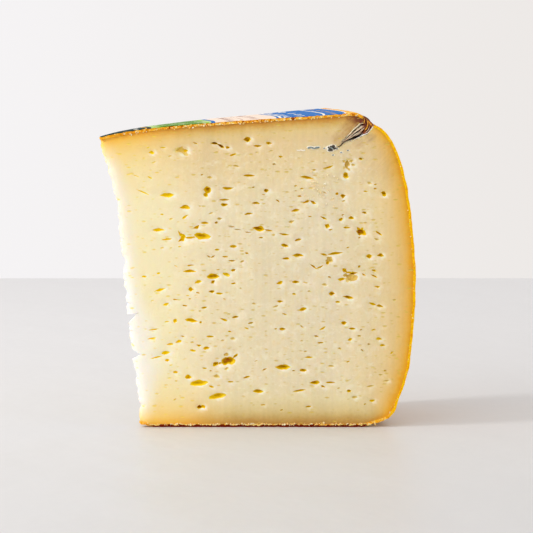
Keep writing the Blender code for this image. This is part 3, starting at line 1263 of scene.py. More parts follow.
# The eyes that can be told apart on the front cut face: place along it, height in the wheel, length, height
# of the eye itself and tilt. They are then raised and made larger by a little, all alike.
EYES_RISE = 0.5
EYES_LONGER = 1.06
EYES_TALLER = 1.15
LENS_EYES = (
    (18.9, 95.7, 2.1, 1.1), (45.2, 97.3, 1.6, 1.0, -10), (51.9, 100.1, 2.6, 1.8), (55.5, 97.8, 3.0, 0.8),
    (59.5, 98.8, 2.3, 0.8), (52.6, 87.6, 3.8, 0.8), (45.2, 83.2, 3.8, 0.9), (44.0, 79.2, 3.4, 0.7),
    (44.0, 77.5, 2.4, 1.1), (24.3, 80.9, 5.0, 1.4), (30.3, 76.7, 3.7, 1.3), (52.4, 74.4, 3.0, 0.7, 10),
    (54.9, 78.1, 2.7, 0.8), (58.5, 82.4, 1.7, 1.2), (72.4, 78.6, 3.0, 0.8, 22), (74.6, 78.4, 2.4, 0.9, -30),
    (68.6, 75.6, 3.0, 0.9, 10), (72.6, 87.0, 4.6, 0.9, -8), (85.1, 80.5, 1.8, 1.2),
    (99.2, 81.5, 2.1, 1.4, -30), (55.8, 69.3, 4.2, 1.5, -6), (59.3, 68.6, 3.0, 0.6, -12),
    (64.6, 67.2, 3.4, 0.6, -8), (21.2, 68.8, 4.7, 1.2), (24.1, 65.5, 4.1, 0.8, 6), (34.4, 69.6, 2.3, 1.1, 30),
    (37.2, 71.2, 2.7, 0.8), (41.2, 71.3, 1.2, 0.7), (69.5, 65.3, 2.3, 0.8, 15), (65.0, 63.4, 2.7, 1.1, -10),
    (69.5, 60.0, 3.8, 1.1), (65.3, 58.8, 2.7, 0.8), (94.1, 59.6, 2.1, 1.2), (98.1, 60.0, 2.3, 1.1),
    (96.0, 52.7, 2.3, 0.5, -25), (31.9, 54.4, 4.4, 1.0), (32.3, 56.4, 2.6, 0.6, 6), (40.1, 52.6, 4.3, 1.7),
    (40.0, 50.6, 1.7, 1.1, 40), (39.5, 47.2, 2.1, 0.9), (21.6, 47.8, 4.4, 1.0, 15), (16.1, 52.5, 2.1, 0.8),
    (32.4, 48.1, 1.9, 1.3), (47.1, 54.7, 1.6, 0.9, 10), (46.6, 58.0, 2.4, 0.5), (68.8, 50.6, 2.7, 0.9),
    (81.3, 46.5, 2.0, 1.2), (87.0, 45.3, 3.7, 1.1, -10), (95.6, 42.9, 2.8, 0.7, -16),
    (98.0, 42.2, 2.6, 0.8, -8), (63.4, 43.8, 2.3, 0.8), (32.5, 37.1, 4.4, 1.2, -8),
    (27.0, 44.4, 2.0, 0.5, -8), (23.7, 42.8, 2.5, 0.9, 20), (30.2, 42.3, 1.8, 0.6, -10),
    (36.9, 41.6, 2.1, 0.6, 10), (19.2, 33.9, 3.8, 0.6, 8), (25.0, 28.8, 2.9, 0.8, 5),
    (18.6, 30.8, 3.4, 0.6, 10), (23.5, 25.7, 3.4, 1.4, 8), (24.0, 23.1, 1.8, 1.1), (64.1, 20.8, 5.0, 1.5),
    (31.3, 17.2, 2.4, 1.4), (55.7, 12.3, 3.5, 1.2), (75.4, 15.3, 3.6, 1.2, 4), (80.9, 15.3, 3.4, 0.7),
    (82.2, 60.5, 5.4, 0.85, 8), (69.9, 12.4, 4.6, 0.6, 10), (73.3, 24.2, 2.9, 0.6),
    (76.0, 31.6, 1.8, 0.6, -10), (85.5, 36.2, 2.0, 1.1), (47.7, 38.3, 2.3, 0.8, 10),
    (53.1, 36.2, 1.9, 0.6, 12), (64.2, 34.1, 2.3, 0.9), (26.9, 18.9, 2.0, 0.9), (87.4, 12.3, 1.5, 0.8),
    (20.6, 24.2, 5.0, 0.6, 12), (91.1, 93.4, 1.5, 0.7, -8), (15.6, 82.0, 5.7, 0.5, -22),
    (13.4, 87.6, 3.0, 0.3, -20), (79.8, 90.4, 3.5, 0.6, 15), (61.2, 91.6, 1.2, 0.5),
    (38.6, 59.5, 1.8, 0.4, -30), (40.0, 59.4, 1.6, 0.5, 30), (52.3, 67.9, 2.4, 0.35, -5),
    (46.5, 69.8, 2.3, 0.4), (48.6, 68.9, 3.0, 0.25, -6), (77.0, 55.7, 2.8, 0.6, 25),
    (74.9, 56.0, 2.9, 0.6, -35), (92.5, 74.8, 1.8, 0.7, -10), (87.9, 73.0, 2.0, 1.0),
    (78.4, 72.9, 2.6, 0.6, -25),
)
ROUND_EYES = (
    (26.8, 37.1, 1.4, 1.2), (30.6, 96.2, 2.0, 1.2), (38.2, 82.6, 2.4, 2.2), (34.8, 15.1, 5.7, 1.7, 6),
    (41.3, 10.5, 5.4, 1.6, 13), (35.7, 36.5, 0.9, 0.7), (37.6, 81.0, 1.8, 1.4, -30), (36.4, 6.8, 1.8, 1.2),
    (86.0, 87.7, 2.2, 1.6, -60), (83.0, 81.3, 1.1, 0.9), (90.8, 56.0, 0.9, 0.8), (45.1, 22.9, 4.6, 2.6, 10),
    (79.8, 57.3, 1.4, 1.1, 50),
)
SHALLOW_EYES = (
    (87.3, 52.4, 5.4, 3.2, -3), (44.6, 25.1, 2.3, 1.5, 10), (44.7, 20.2, 2.0, 0.9, 20),
    (80.5, 58.4, 2.6, 2.3, 45), (86.5, 91.7, 2.0, 2.9), (85.4, 92.5, 1.6, 1.0, -35),
    (87.9, 92.6, 2.4, 1.0, 25), (88.5, 91.4, 1.8, 0.8, -5), (86.9, 90.0, 2.4, 1.1, -40),
    (85.6, 90.3, 1.5, 0.9, 50), (29.4, 96.4, 5.0, 2.5),
)
DEEP_EYES = (
    (40.6, 98.8, 2.6, 0.8, -4), (42.8, 97.9, 3.0, 0.8, -28), (88.6, 53.5, 2.6, 0.7, 4), (35.2, 6.6, 1.9, 1.2),
)
# One torn eye in two parts: a forked lobe with its neck, then the pointed lobe beyond the neck.
FORKED_EYES = (
    (29.4, 66.7, 4.2, 1.7, -44), (29.4, 65.4, 3.2, 2.0, 36), (32.3, 66.0, 5.0, 0.9, 6),
)
POINTED_EYES = (
    (36.0, 66.6, 5.5, 2.2, -6),
)
TORN_EYES = (
    (47.6, 24.4, 2.8, 0.9, 38), (42.6, 22.0, 2.2, 0.9, 8), (41.0, 21.7, 2.4, 1.7, 30),
    (84.7, 51.5, 2.8, 0.9, 8), (88.0, 53.8, 5.4, 1.1, -4), (85.8, 54.5, 2.2, 1.5, -35),
    (91.4, 68.0, 3.6, 2.3, -18), (90.6, 69.0, 2.4, 1.0, -50), (79.6, 70.2, 2.0, 1.2, -25),
    (84.4, 72.4, 1.6, 1.0, 20), (78.7, 60.1, 2.8, 0.7, -14),
)


def listed_eyes() -> list[Eye]:
    """The eyes that are listed for the front cut face."""
    tables = [
        (LENS_EYES, EyeForm.LENS, 1.0),
        (ROUND_EYES, EyeForm.ROUND, 0.8),
        (FORKED_EYES, EyeForm.TORN, 0.75),
        (POINTED_EYES, EyeForm.LENS, 0.78),
        (TORN_EYES, EyeForm.TORN, 0.75),
        (SHALLOW_EYES, EyeForm.TORN, 0.36),
        (DEEP_EYES, EyeForm.LENS, 1.7),
    ]
    eyes = []
    for table, form, deep in tables:
        for along, up, length, height, *tilt in table:
            size = length * EYES_LONGER, height * EYES_TALLER
            eyes.append(Eye(along, up + EYES_RISE, *size, tilt[0] if tilt else 0.0, form, deep))
    return eyes


@dataclass(frozen=True)
class Scatter:
    """Eyes to scatter: how many, the range of their lengths, and that of their height over their length."""

    count: int
    lengths: Pair = (1.1, 2.9)
    slimness: Pair = (0.26, 0.5)


@dataclass
class EyeField:
    """All the hollows of one cut face. Lengths are in millimetres."""

    LIP_HIGHLIGHT = "pale_lips"

    wheel: Wheel
    face: CutFace
    placed: list[Eye]
    scattered: tuple[Scatter, ...]
    seed: int
    width: Pair = (4, 106)
    height: Pair = (6, 104)
    tilting: float = 14.0
    least_height: float = 0.4
    round_share: float = 0.25
    depths: Pair = (0.3, 0.95)
    patience: int = 4000
    edge: float = 3.5
    by_fold: Pair = (64, 92)
    least_gap: float = 0.35
    shallow: float = 0.5
    least_lip: float = 1.6
    lip: float = 0.9

    def __post_init__(self) -> None:
        """Scatters the eyes that aren't listed."""
        self.random = random.Random(self.seed)
        self.eyes = list(self.placed)
        for kind in self.scattered:
            self._scatter(kind)

    def _scatter(self, kind: Scatter) -> None:
        """Adds eyes where there is room. Short ones are more common."""
        count, missed = kind.count, 0
        while count and missed < self.patience:
            along, up = self.random.uniform(*self.width), self.random.uniform(*self.height)
            share = self.random.random() ** 1.5
            length = kind.lengths[0] + (kind.lengths[1] - kind.lengths[0]) * share
            height = max(self.least_height, length * self.random.uniform(*kind.slimness))
            form = EyeForm.ROUND if self.random.random() < self.round_share else EyeForm.LENS
            tilt, deep = self.random.gauss(0, self.tilting), self.random.uniform(*self.depths)
            eye = Eye(along, up, length, height, tilt, form, deep)
            if self._fits(eye):
                self.eyes.append(eye)
                count -= 1
            else:
                missed += 1

    def _fits(self, eye: Eye) -> bool:
        """Whether an eye lies well inside the paste, clear of the fold and of the others."""
        wheel = self.wheel
        start = wheel.thin_edge(eye.up) if self.face is CutFace.FRONT else wheel.blunt
        margin = self.edge + eye.reach()
        if eye.along - start < margin + 3 or wheel.dish(eye.along) - eye.up < margin + 2:
            return False
        rim = max(radius for radius, height in wheel.rim if abs(height - eye.up) < 26)
        by_fold = eye.along > self.by_fold[0] and eye.up > self.by_fold[1]
        if rim - eye.along < margin + 3 or by_fold:
            return False
        return all(
            math.hypot(eye.along - other.along, (eye.up - other.up) * 1.6)
            > eye.reach() + other.reach() + self.least_gap
            for other in self.eyes
        )

    def cutters(self) -> list[Mesh]:
        """The hollows as meshes, shared out so that none crosses another in the same mesh."""
        layers: list[list[Eye]] = []
        for eye in self.eyes:
            for layer in layers:
                if all(self._apart(eye, other) for other in layer):
                    layer.append(eye)
                    break
            else:
                layers.append([eye])
        return [self._layer_mesh(layer) for layer in layers]

    def dimple(self, verts: Sequence[Vert]) -> dict[Vert, float]:
        """Sinks the cut face a little round each larger eye, so that its lips are soft.

        Args:
            verts: The cut face's vertices.

        Returns:
            How strong a painted highlight the lip gets at the vertices to the lower right of an eye, where
            light from the upper left would catch it.
        """
        tree = KDTree(len(verts))
        for index, vert in enumerate(verts):
            tree.insert(vert.co, index)
        tree.balance()
        out, along = self.wheel.outward(self.face), self.wheel.along(self.face)
        pale: dict[Vert, float] = {}
        for eye in self.eyes:
            if eye.length < self.least_lip:
                continue
            middle = self.wheel.on_face(self.face, eye.along, eye.up)
            half = eye.length / 2 + self.lip, eye.height / 2 + self.lip
            upright = Matrix.Rotation(math.radians(eye.tilt), 3, "Y")
            for spot, index, _ in tree.find_range(middle, half[0] * 1.6):
                off = spot - middle
                level = upright @ Vector((off.dot(along), 0, off.z))
                near = math.exp(-((level.x / half[0]) ** 2 + (level.z / half[1]) ** 2) * 1.2)
                verts[index].co -= out * near * (0.1 + 0.12 * eye.height) * min(1.0, eye.deep)
                # pale keeps the strongest painted highlight at each vertex.
                pale[verts[index]] = max(pale.get(verts[index], 0.0), self._lip_highlight(eye, level))
        return pale

    @staticmethod
    def _lip_highlight(eye: Eye, level: Vector) -> float:
        """How strong the painted highlight on an eye's lip is at a place in the eye's own level frame: most
        to the lower right.
        """
        reach = math.hypot(level.x / eye.length, level.z / eye.height) * 2
        gap = level.length * (1 - 1 / max(reach, 0.5))
        lower_right = clamp((level.length and (level.x * 0.8 - level.z * 0.6) / level.length) * 1.4)
        return math.exp(-(((gap - 0.3) / 0.5) ** 2)) * lower_right * clamp(eye.height * 0.7)

    @staticmethod
    def _apart(eye: Eye, other: Eye) -> bool:
        """Whether two eyes' circles are clear of each other."""
        return math.hypot(eye.along - other.along, eye.up - other.up) > (eye.reach() + other.reach()) * 1.25

    def _layer_mesh(self, eyes: list[Eye]) -> Mesh:
        """One mesh of many hollows."""
        mesh = bmesh.new()
        for eye in eyes:
            self._add(mesh, eye)
        return mesh

    def _add(self, mesh: Mesh, eye: Eye) -> None:
        """Adds one hollow's shape to a mesh: wider at its mouth, most of all to the lower right."""
        verts = ball(mesh, 4 if eye.length > 4.4 else 3 if eye.length > 1.5 else 2)
        paint(verts, 2 if eye.deep < self.shallow else 1)
        ragged = Relief(RAGGEDNESS[eye.form], 0.8, self.random.uniform(0, 50))
        bend, skew, full = (self.random.uniform(*ends) for ends in ((-0.5, 0.5), (-0.5, 0.5), (1.5, 3.2)))
        bend *= ROUND_BEND if eye.form is EyeForm.ROUND else 1.0
        for vert in verts:
            spot = vert.co.copy()
            swell = 1 + ragged.at(spot)
            pinch = 1.0
            if eye.form is not EyeForm.ROUND:
                pinch = (1 - min(1, abs(spot.x)) ** full) ** 0.5 * (1 + skew * spot.x)
            lower_right = clamp(spot.x * 0.8 - spot.z * 0.6)
            flare = 0.82 + (0.26 + 0.16 * lower_right) * math.exp(-((spot.y / 0.22) ** 2))
            x, z = spot.x * (0.85 + 0.15 * swell) * flare, spot.z * swell * pinch * flare
            vert.co = Vector((x, spot.y * swell, z + bend * x**2))
        depth = (0.5 + 0.55 * eye.height) * eye.deep * (0.5 + 0.5 * ease(eye.along, 14, 40))
        bmesh.ops.scale(mesh, verts=verts, vec=(eye.length / 2, depth, eye.height / 2))
        rotate(mesh, verts, -math.radians(eye.tilt), "Y")
        rotate(mesh, verts, self.wheel.angle if self.face is CutFace.BACK else 0.0, "Z")
        bmesh.ops.translate(mesh, verts=verts, vec=self.wheel.on_face(self.face, eye.along, eye.up))


# ---------------------------------------------------------------- the paste


def rind_depth(inward: Vector) -> float:
    """The rind's thickness for the inward direction there: thinnest on the labelled top."""
    level = 1.0 if inward.y > 0 else 0.9
    return 0.95 * inward.x**2 + level * inward.y**2


@dataclass(frozen=True)
class Notch:
    """A crumbled gap in the thin edge, in millimetres, with its tilt in degrees."""

    up: float
    depth: float
    mouth: float
    tilt: float = 0.0


@dataclass
class Paste:
    """The cut cheese inside its rind."""

    wheel: Wheel
    fold: Fold
    level_pitch: float = 0.8
    upright_pitch: float = 0.95
    fine_pitch: float = 0.45
    fine_reach: float = 10.0
    profile_pitch: float = 3.0
    overlap: float = 0.3
    steps: int = 14
    round_reach: float = 3.4
    round_depth: float = 1.3
    crumbled_reach: float = 5.0
    chip_limits: Pair = (-0.35, 1.7)
    chips: Relief = Relief(1.2, 5.0, 5.0, 4)
    nicks: Relief = Relief(0.5, 1.6, 9.0)
    grain: Relief = Relief(0.2, 1.3, 31.0)
    waves: Relief = Relief(0.07, 11.0, 3.0, 2)
    wave_stretch: float = 4.0
    unevenness: Relief = Relief(0.045, 3.6, 8.0)
    notches: tuple[Notch, ...] = (
        Notch(37.9, 4.4, 2.6, 28), Notch(25.8, 3.6, 3.4, -6), Notch(43.6, 1.8, 0.7), Notch(34.0, 1.4, 0.7),
        Notch(58.6, 1.0, 0.9, 12), Notch(66.4, 1.3, 0.8, -8), Notch(51.5, 0.7, 0.7), Notch(29.6, 0.8, 1.2),
        Notch(74.8, 1.1, 1.2, 10), Notch(17.8, 0.9, 0.8), Notch(8.2, 0.8, 0.7),
    )

    def build(self) -> Mesh:
        """The paste's mesh."""
        mesh = self._block()
        self._quilt(mesh)
        self._round_thin_edge(mesh)
        large = Scatter(70, (2.0, 5.2), (0.28, 0.5))
        eyes = [
            EyeField(self.wheel, CutFace.FRONT, listed_eyes(), (Scatter(140),), seed=7),
            EyeField(self.wheel, CutFace.BACK, [], (large, Scatter(150)), seed=23),
        ]
        # Keeps the painted highlight of the eyes' lips in a UV map.
        lip_highlight = mesh.loops.layers.uv.new(EyeField.LIP_HIGHLIGHT)
        for eye_field, verts in zip(eyes, (self.front, self.back)):
            self._wave(eye_field.face, verts)
            for vert, highlight in eye_field.dimple(verts).items():
                for loop in vert.link_loops:
                    loop[lip_highlight].uv = (highlight, 0)
        cutters = [cutter for eye_field in eyes for cutter in eye_field.cutters()]
        return cut_away(mesh, [self._notch_cutter(), self.fold.cutter(), *cutters])

    def _block(self) -> Mesh:
        """The plain sector under the rind, with a narrow blunt face in place of its thin edge."""
        outer = self.wheel.profile(self.profile_pitch)
        profile = inset(outer, lambda inward: rind_depth(inward) - self.overlap)
        mesh = bmesh.new()
        mesh.faces.new([mesh.verts.new((radius, 0, height)) for radius, height in profile])
        spun(self.wheel, mesh, self.steps)
        return mesh

    def _quilt(self, mesh: Mesh) -> None:
        """Cuts the cut faces upright and the whole block level into small cells, and leans it."""
        wheel = self.wheel
        fine = [wheel.blunt + self.fine_pitch * i for i in range(1, int(self.fine_reach / self.fine_pitch))]
        coarse = [fine[-1] + self.upright_pitch * i for i in range(1, int(wheel.radius / self.upright_pitch))]
        for face in CutFace:
            along = wheel.along(face)
            for distance in fine + coarse:
                flat = [f for f in mesh.faces if all(wheel.on_plane(face, v.co) for v in f.verts)]
                geometry = {*flat, *(e for f in flat for e in f.edges), *(v for f in flat for v in f.verts)}
                bmesh.ops.bisect_plane(
                    mesh, geom=list(geometry), dist=0.01, plane_co=along * distance, plane_no=along
                )
        for index in range(1, int(wheel.height / self.level_pitch)):
            everything = [*mesh.verts, *mesh.edges, *mesh.faces]
            bmesh.ops.bisect_plane(
                mesh, geom=everything, dist=0.01, plane_co=UP * (index * self.level_pitch), plane_no=UP
            )
        self.front = [v for v in mesh.verts if wheel.on_plane(CutFace.FRONT, v.co)]
        self.back = [v for v in mesh.verts if wheel.on_plane(CutFace.BACK, v.co)]
        wheel.lean(mesh)

    def _round_thin_edge(self, mesh: Mesh) -> None:
        """Rounds the front of the thin edge away, and crumbles its outline."""
        wheel = self.wheel
        slope = math.tan(wheel.angle)
        width = wheel.blunt * math.sin(wheel.angle)
        for vert in mesh.verts:
            spot = vert.co.copy()
            away = spot.x - wheel.thin_edge(spot.z)
            if away > self.fine_reach - 1:
                continue
            vert.co.z += wheel.curl(away, spot.z)
            near = clamp(1 - away / self.round_reach)
            fall = self.round_depth * (1 - math.sqrt(max(0.0, 1 - near**2)))
            vert.co.y += fall * (1 - clamp(spot.y / (width + max(0.0, away) * slope)))
            loose = clamp(1 - max(0.0, away) / self.crumbled_reach) ** 2
            row = (0, 0.35 * spot.y, spot.z)
            chipped = max(0.0, self.chips.at(row)) + self.nicks.at(row)
            vert.co.x += clamp(chipped, *self.chip_limits) * loose
            vert.co.y += self.grain.at(row) * loose * near

    def _wave(self, face: CutFace, verts: Iterable[Vert]) -> None:
        """Gives a cut face the knife's faint upright waves and a slight unevenness."""
        out = self.wheel.outward(face)
        for vert in verts:
            spot = vert.co
            stretched = (spot.x, spot.y, spot.z / self.wave_stretch)
            vert.co += out * (self.waves.at(stretched) + self.unevenness.at(spot))

    def _notch_cutter(self) -> Mesh:
        """The deeper notches in the thin edge, in one mesh: each is widest at its mouth."""
        mesh = bmesh.new()
        for index, notch in enumerate(self.notches):
            verts = ball(mesh, 3)
            ragged = Relief(0.22, 0.6, index * 3.1)
            for vert in verts:
                spot = vert.co.copy()
                narrow = max(0.1, (1 - ease(spot.x, -0.2, 1.0)) ** 0.6)
                rise = spot.z * notch.mouth * 0.62 * (1 + ragged.at(spot)) * narrow
                vert.co = Vector((spot.x * (notch.depth + 1), spot.y * 8, rise))
            rotate(mesh, verts, -math.radians(notch.tilt), "Y")
            edge = self.wheel.thin_edge(notch.up) - 1
            bmesh.ops.translate(mesh, verts=verts, vec=(edge, 2, notch.up))
        return mesh


# ---------------------------------------------------------------- the fold in the rind


@dataclass(frozen=True)
class Ridge:
    """A ridge or gap along the fold's lining, from its start near the mouth to its end near the tip.

    Lengths are shares: 0 along is the mouth and 1 the tip, 0 across is the upper lip and 1 the lower one.
    """

    FADE_IN = 0.05
    FADE_OUT = 0.08

    tint: str
    begins: float
    ends: float
    at_start: float
    at_end: float
    width: float
    rise: float

    def lift(self, along: float, across: float) -> float:
        """How far the lining stands up here, in millimetres."""
        share = clamp((along - self.begins) / (self.ends - self.begins))
        middle = self.at_start + (self.at_end - self.at_start) * share
        begun = ease(along, self.begins - self.FADE_IN, self.begins + self.FADE_IN)
        present = begun * (1 - ease(along, self.ends - self.FADE_OUT, self.ends))
        return self.rise * present * math.exp(-(((across - middle) / self.width) ** 2))

    def mask(self, along: Signal, across: Signal) -> Signal:
        """Where its colour shows."""
        slope = (self.at_end - self.at_start) / (self.ends - self.begins)
        off = abs(across - (along - self.begins) * slope - self.at_start)
        begun = along.step(self.begins - self.FADE_IN, self.begins + self.FADE_IN)
        present = begun * along.fall(self.ends - self.FADE_OUT, self.ends)
        return off.fall(self.width * 0.45, self.width * 1.1) * present


@dataclass
class Fold:
    """Where the rind turned inwards at the shoulder: a hollow between two lips, lined with mould."""

    CHART = "along_the_fold"
    # The sunk ridges with the darkest tint hold painted shade in their gaps.
    RIDGES = (
        Ridge("vein", -0.10, 0.24, 0.03, 0.06, 0.08, 0.9),
        Ridge("cream", 0.20, 0.97, 0.04, 0.12, 0.07, 0.9),
        Ridge("crease_shade", 0.22, 0.56, 0.16, 0.22, 0.04, -0.7),
        Ridge("ash", 0.24, 0.80, 0.32, 0.40, 0.08, 0.7),
        Ridge("crease_shade", 0.30, 0.62, 0.44, 0.46, 0.028, -0.5),
        Ridge("ash", 0.26, 0.84, 0.53, 0.56, 0.07, 0.6),
        Ridge("crease_shade", 0.46, 0.80, 0.64, 0.64, 0.03, -0.4),
        Ridge("ash", 0.40, 0.72, 0.72, 0.70, 0.06, 0.5),
        Ridge("maroon", 0.18, 0.40, 0.50, 0.78, 0.05, -0.7),
        Ridge("vein", 0.04, 0.30, 0.34, 0.70, 0.07, 0.9),
        Ridge("rust", 0.12, 0.32, 0.50, 0.82, 0.04, 0.0),
        Ridge("ash", 0.10, 0.30, 0.66, 0.86, 0.035, 0.6),
        Ridge("crease_shade", 0.34, 1.05, 0.86, 0.56, 0.10, -0.9),
        Ridge("frost", -0.05, 0.56, 0.94, 0.94, 0.055, 0.8),
        Ridge("cream", 0.50, 1.02, 0.98, 0.96, 0.05, 0.7),
    )

    wheel: Wheel
    upper: tuple[Pair, ...] = (
        (91.5, 108.9), (92.3, 107.3), (92.1, 106.3), (91.0, 106.2), (90.0, 105.3), (88.6, 104.2),
        (87.6, 103.0), (86.4, 101.8), (85.5, 100.8), (84.7, 99.9), (84.0, 98.7), (82.8, 98.0),
    )
    lower: tuple[Pair, ...] = (
        (95.8, 105.4), (95.1, 104.1), (93.5, 102.5), (92.0, 101.9), (90.1, 101.0), (88.6, 100.3),
        (87.1, 99.9), (85.9, 99.6), (85.0, 98.8), (84.4, 98.1), (82.8, 97.7),
    )
    depth: float = 3.2
    opening: float = 3.0
    in_front: float = 1.5
    behind: float = 0.6
    cutter_points: int = 26
    rows: int = 84
    columns: int = 40
    ragged_sides: tuple[Relief, Relief] = (Relief(1.0, 0.9, 2.0), Relief(1.0, 0.9, 6.0))
    ribs: Relief = Relief(0.2, 1.0, 4.0)
    lumps: Relief = Relief(0.22, 1.2, 11.0)

    def _lips(self, count: int) -> tuple[Outline, Outline]:
        """Both lips with the same number of points, from the mouth to the tip."""
        lines = [smooth_line(lip) for lip in (self.upper, self.lower)]
        lengths = [sum(math.dist(a, b) for a, b in zip(line, line[1:])) for line in lines]
        evened = [spaced(line, length / count) for line, length in zip(lines, lengths)]
        return evened[0], evened[1]

    def cutter(self) -> Mesh:
        """The hollow as a closed prism with slightly ragged sides, which reaches out beyond the wheel."""
        upper, lower = self._lips(self.cutter_points)
        for lip in (upper, lower):
            start, after = Vector(lip[0]), Vector(lip[2])
            lip.insert(0, tuple(start + (start - after).normalized() * self.opening))
        mesh = bmesh.new()
        outline = [self._ragged(*point) for point in [*upper, *reversed(lower)]]
        face = mesh.faces.new([mesh.verts.new((x, -self.in_front, z)) for x, z in outline])
        far = new_verts(bmesh.ops.extrude_face_region(mesh, geom=[face]))
        bmesh.ops.translate(mesh, verts=far, vec=(0, self.in_front + self.depth, 0))
        bmesh.ops.recalc_face_normals(mesh, faces=mesh.faces)
        paint(mesh.verts, 1)
        return mesh

    def _ragged(self, x: float, z: float) -> Pair:
        """A point of the hollow's outline, moved a little off it: least by the tip."""
        loose = 0.3 + 0.25 * ease(x, 84, 90)
        off = [loose * side.at((x, z, 0)) for side in self.ragged_sides]
        return x + off[0], z + off[1]

    def lining(self) -> Mesh:
        """The crumpled rind and mould that fill the hollow: a ridged sheet with a thickness."""
        upper, lower = self._lips(self.rows)
        mesh = bmesh.new()
        chart = mesh.loops.layers.uv.new(self.CHART)
        bmesh.ops.create_grid(mesh, x_segments=self.rows, y_segments=self.columns, size=1)
        place = {vert: ((vert.co.x + 1) / 2, (vert.co.y + 1) / 2) for vert in mesh.verts}
        for face in mesh.faces:
            for loop in face.loops:
                loop[chart].uv = place[loop.vert]
        for vert, (along, across) in place.items():
            row = min(round(along * self.rows), len(upper) - 1, len(lower) - 1)
            (ux, uz), (lx, lz) = upper[row], lower[row]
            over = across * 1.06 - 0.03
            open_end = (1 - along) ** 3
            bulge = 0.8 * across * (1 - across) * open_end
            x, z = ux + (lx - ux) * over + bulge, uz + (lz - uz) * over + bulge
            sink = 0.55 + 0.5 * open_end
            uneven = self.ribs.at((along * 2.5, across * 16.0, 0)), self.lumps.at((x, z, 0))
            lift = sum(ridge.lift(along, across) for ridge in self.RIDGES)
            vert.co = Vector((x, max(-0.1, sink + uneven[0] + uneven[1] - lift), z))
        for vert in new_verts(bmesh.ops.extrude_face_region(mesh, geom=list(mesh.faces))):
            vert.co.y = self.depth + self.behind
        bmesh.ops.recalc_face_normals(mesh, faces=mesh.faces)
        return mesh


# ---------------------------------------------------------------- the rind


@dataclass
class Rind:
    """The skin of the wheel over the top, the rim and the bottom, and its cut edges."""

    wheel: Wheel
    fold: Fold
    pitch: float = 0.8
    steps: int = 60
    proud: float = 0.1
    crease: float = 0.7
    crease_place: Pair = (96.3, 106.2)
    crease_width: float = 1.5
    crease_length: float = 26.0
    gap: float = 0.2
    gap_reach: float = 3.0
    bottom_edge: float = 1.4
    ragged: float = 0.15
    swells: Relief = Relief(0.24, 4.0, 1.0, 4)
    lifts: Relief = Relief(1.0, 1.7, 21.0)
    ragged_out: Relief = Relief(1.0, 1.1, 14.0)
    ragged_up: Relief = Relief(0.2, 1.0, 17.0)

    def build(self) -> Mesh:
        """The rind's mesh, with its outside as material 0 and its cut edges as material 1."""
        outer = self.wheel.profile(self.pitch)
        inner = inset(outer, rind_depth)
        mesh = bmesh.new()
        edges = []
        for share in (0.0, 0.5, 1.0):
            row = [(x + (ix - x) * share, 0, z + (iz - z) * share) for (x, z), (ix, iz) in zip(outer, inner)]
            edges.append(chain(mesh, row))
        for near, far in zip(edges, edges[1:]):
            bmesh.ops.bridge_loops(mesh, edges=near + far)
        spun(self.wheel, mesh, self.steps)
        self._mark_cuts(mesh)
        self._roughen(mesh)
        self.wheel.lean(mesh)
        return cut_away(mesh, [self.fold.cutter()])

    def _mark_cuts(self, mesh: Mesh) -> None:
        """Gives the faces in the two cut planes the second material."""
        for face in mesh.faces:
            for side in CutFace:
                if all(self.wheel.on_plane(side, vert.co) for vert in face.verts):
                    face.material_index = 1

    def _roughen(self, mesh: Mesh) -> None:
        """Makes the skin uneven, stands its cut edges proud and ragged, and sinks the crease by the fold."""
        wheel = self.wheel
        moves = {}
        for vert in mesh.verts:
            spot = vert.co
            move = self._swell(spot)
            side = min(CutFace, key=lambda face: abs(spot.dot(wheel.outward(face))))
            from_cut = abs(spot.dot(wheel.outward(side)))
            if spot.z < self.bottom_edge:
                move.z += wheel.curl(spot.xy.length - wheel.blunt, spot.z)
                lift = clamp(0.35 + self.lifts.at((spot.x * 0.8, spot.y * 0.8, 0))) * self.gap
                move.z += lift * (1 - ease(from_cut, 0.8, self.gap_reach))
            if from_cut < 0.01:
                ragged = self.ragged * (1 + self.ragged_out.at(spot))
                move += wheel.outward(side) * (self.proud + ragged)
                move.z += self.ragged_up.at(spot)
            moves[vert] = move
        for vert, move in moves.items():
            vert.co += move
            vert.co.z = max(vert.co.z, 0.0)

    def _swell(self, spot: Vector) -> Vector:
        """How far the skin swells out and sinks into the crease. It is calm under the label and the wedge."""
        wheel = self.wheel
        radius, around = spot.xy.length, spot.xy.normalized()
        covered = 1 - ease(radius, wheel.label_radius - 1, wheel.label_radius + 3)
        calm = covered if spot.z > wheel.height / 2 else ease(spot.z, 2.0, 0.4)
        amount = self.swells.at(spot) * (1 - 0.8 * calm)
        off = math.dist((radius, spot.z), self.crease_place)
        dent = self.crease * math.exp(-((off / self.crease_width) ** 2))
        dent *= 1 - ease(spot.y, 4, self.crease_length)
        out = Vector((around.x, around.y, 0)) if 3 < spot.z < 105 else Vector((0, 0, 1 if spot.z > 60 else 0))
        return out * amount - Vector((around.x, around.y, 1)).normalized() * dent


# ---------------------------------------------------------------- the label


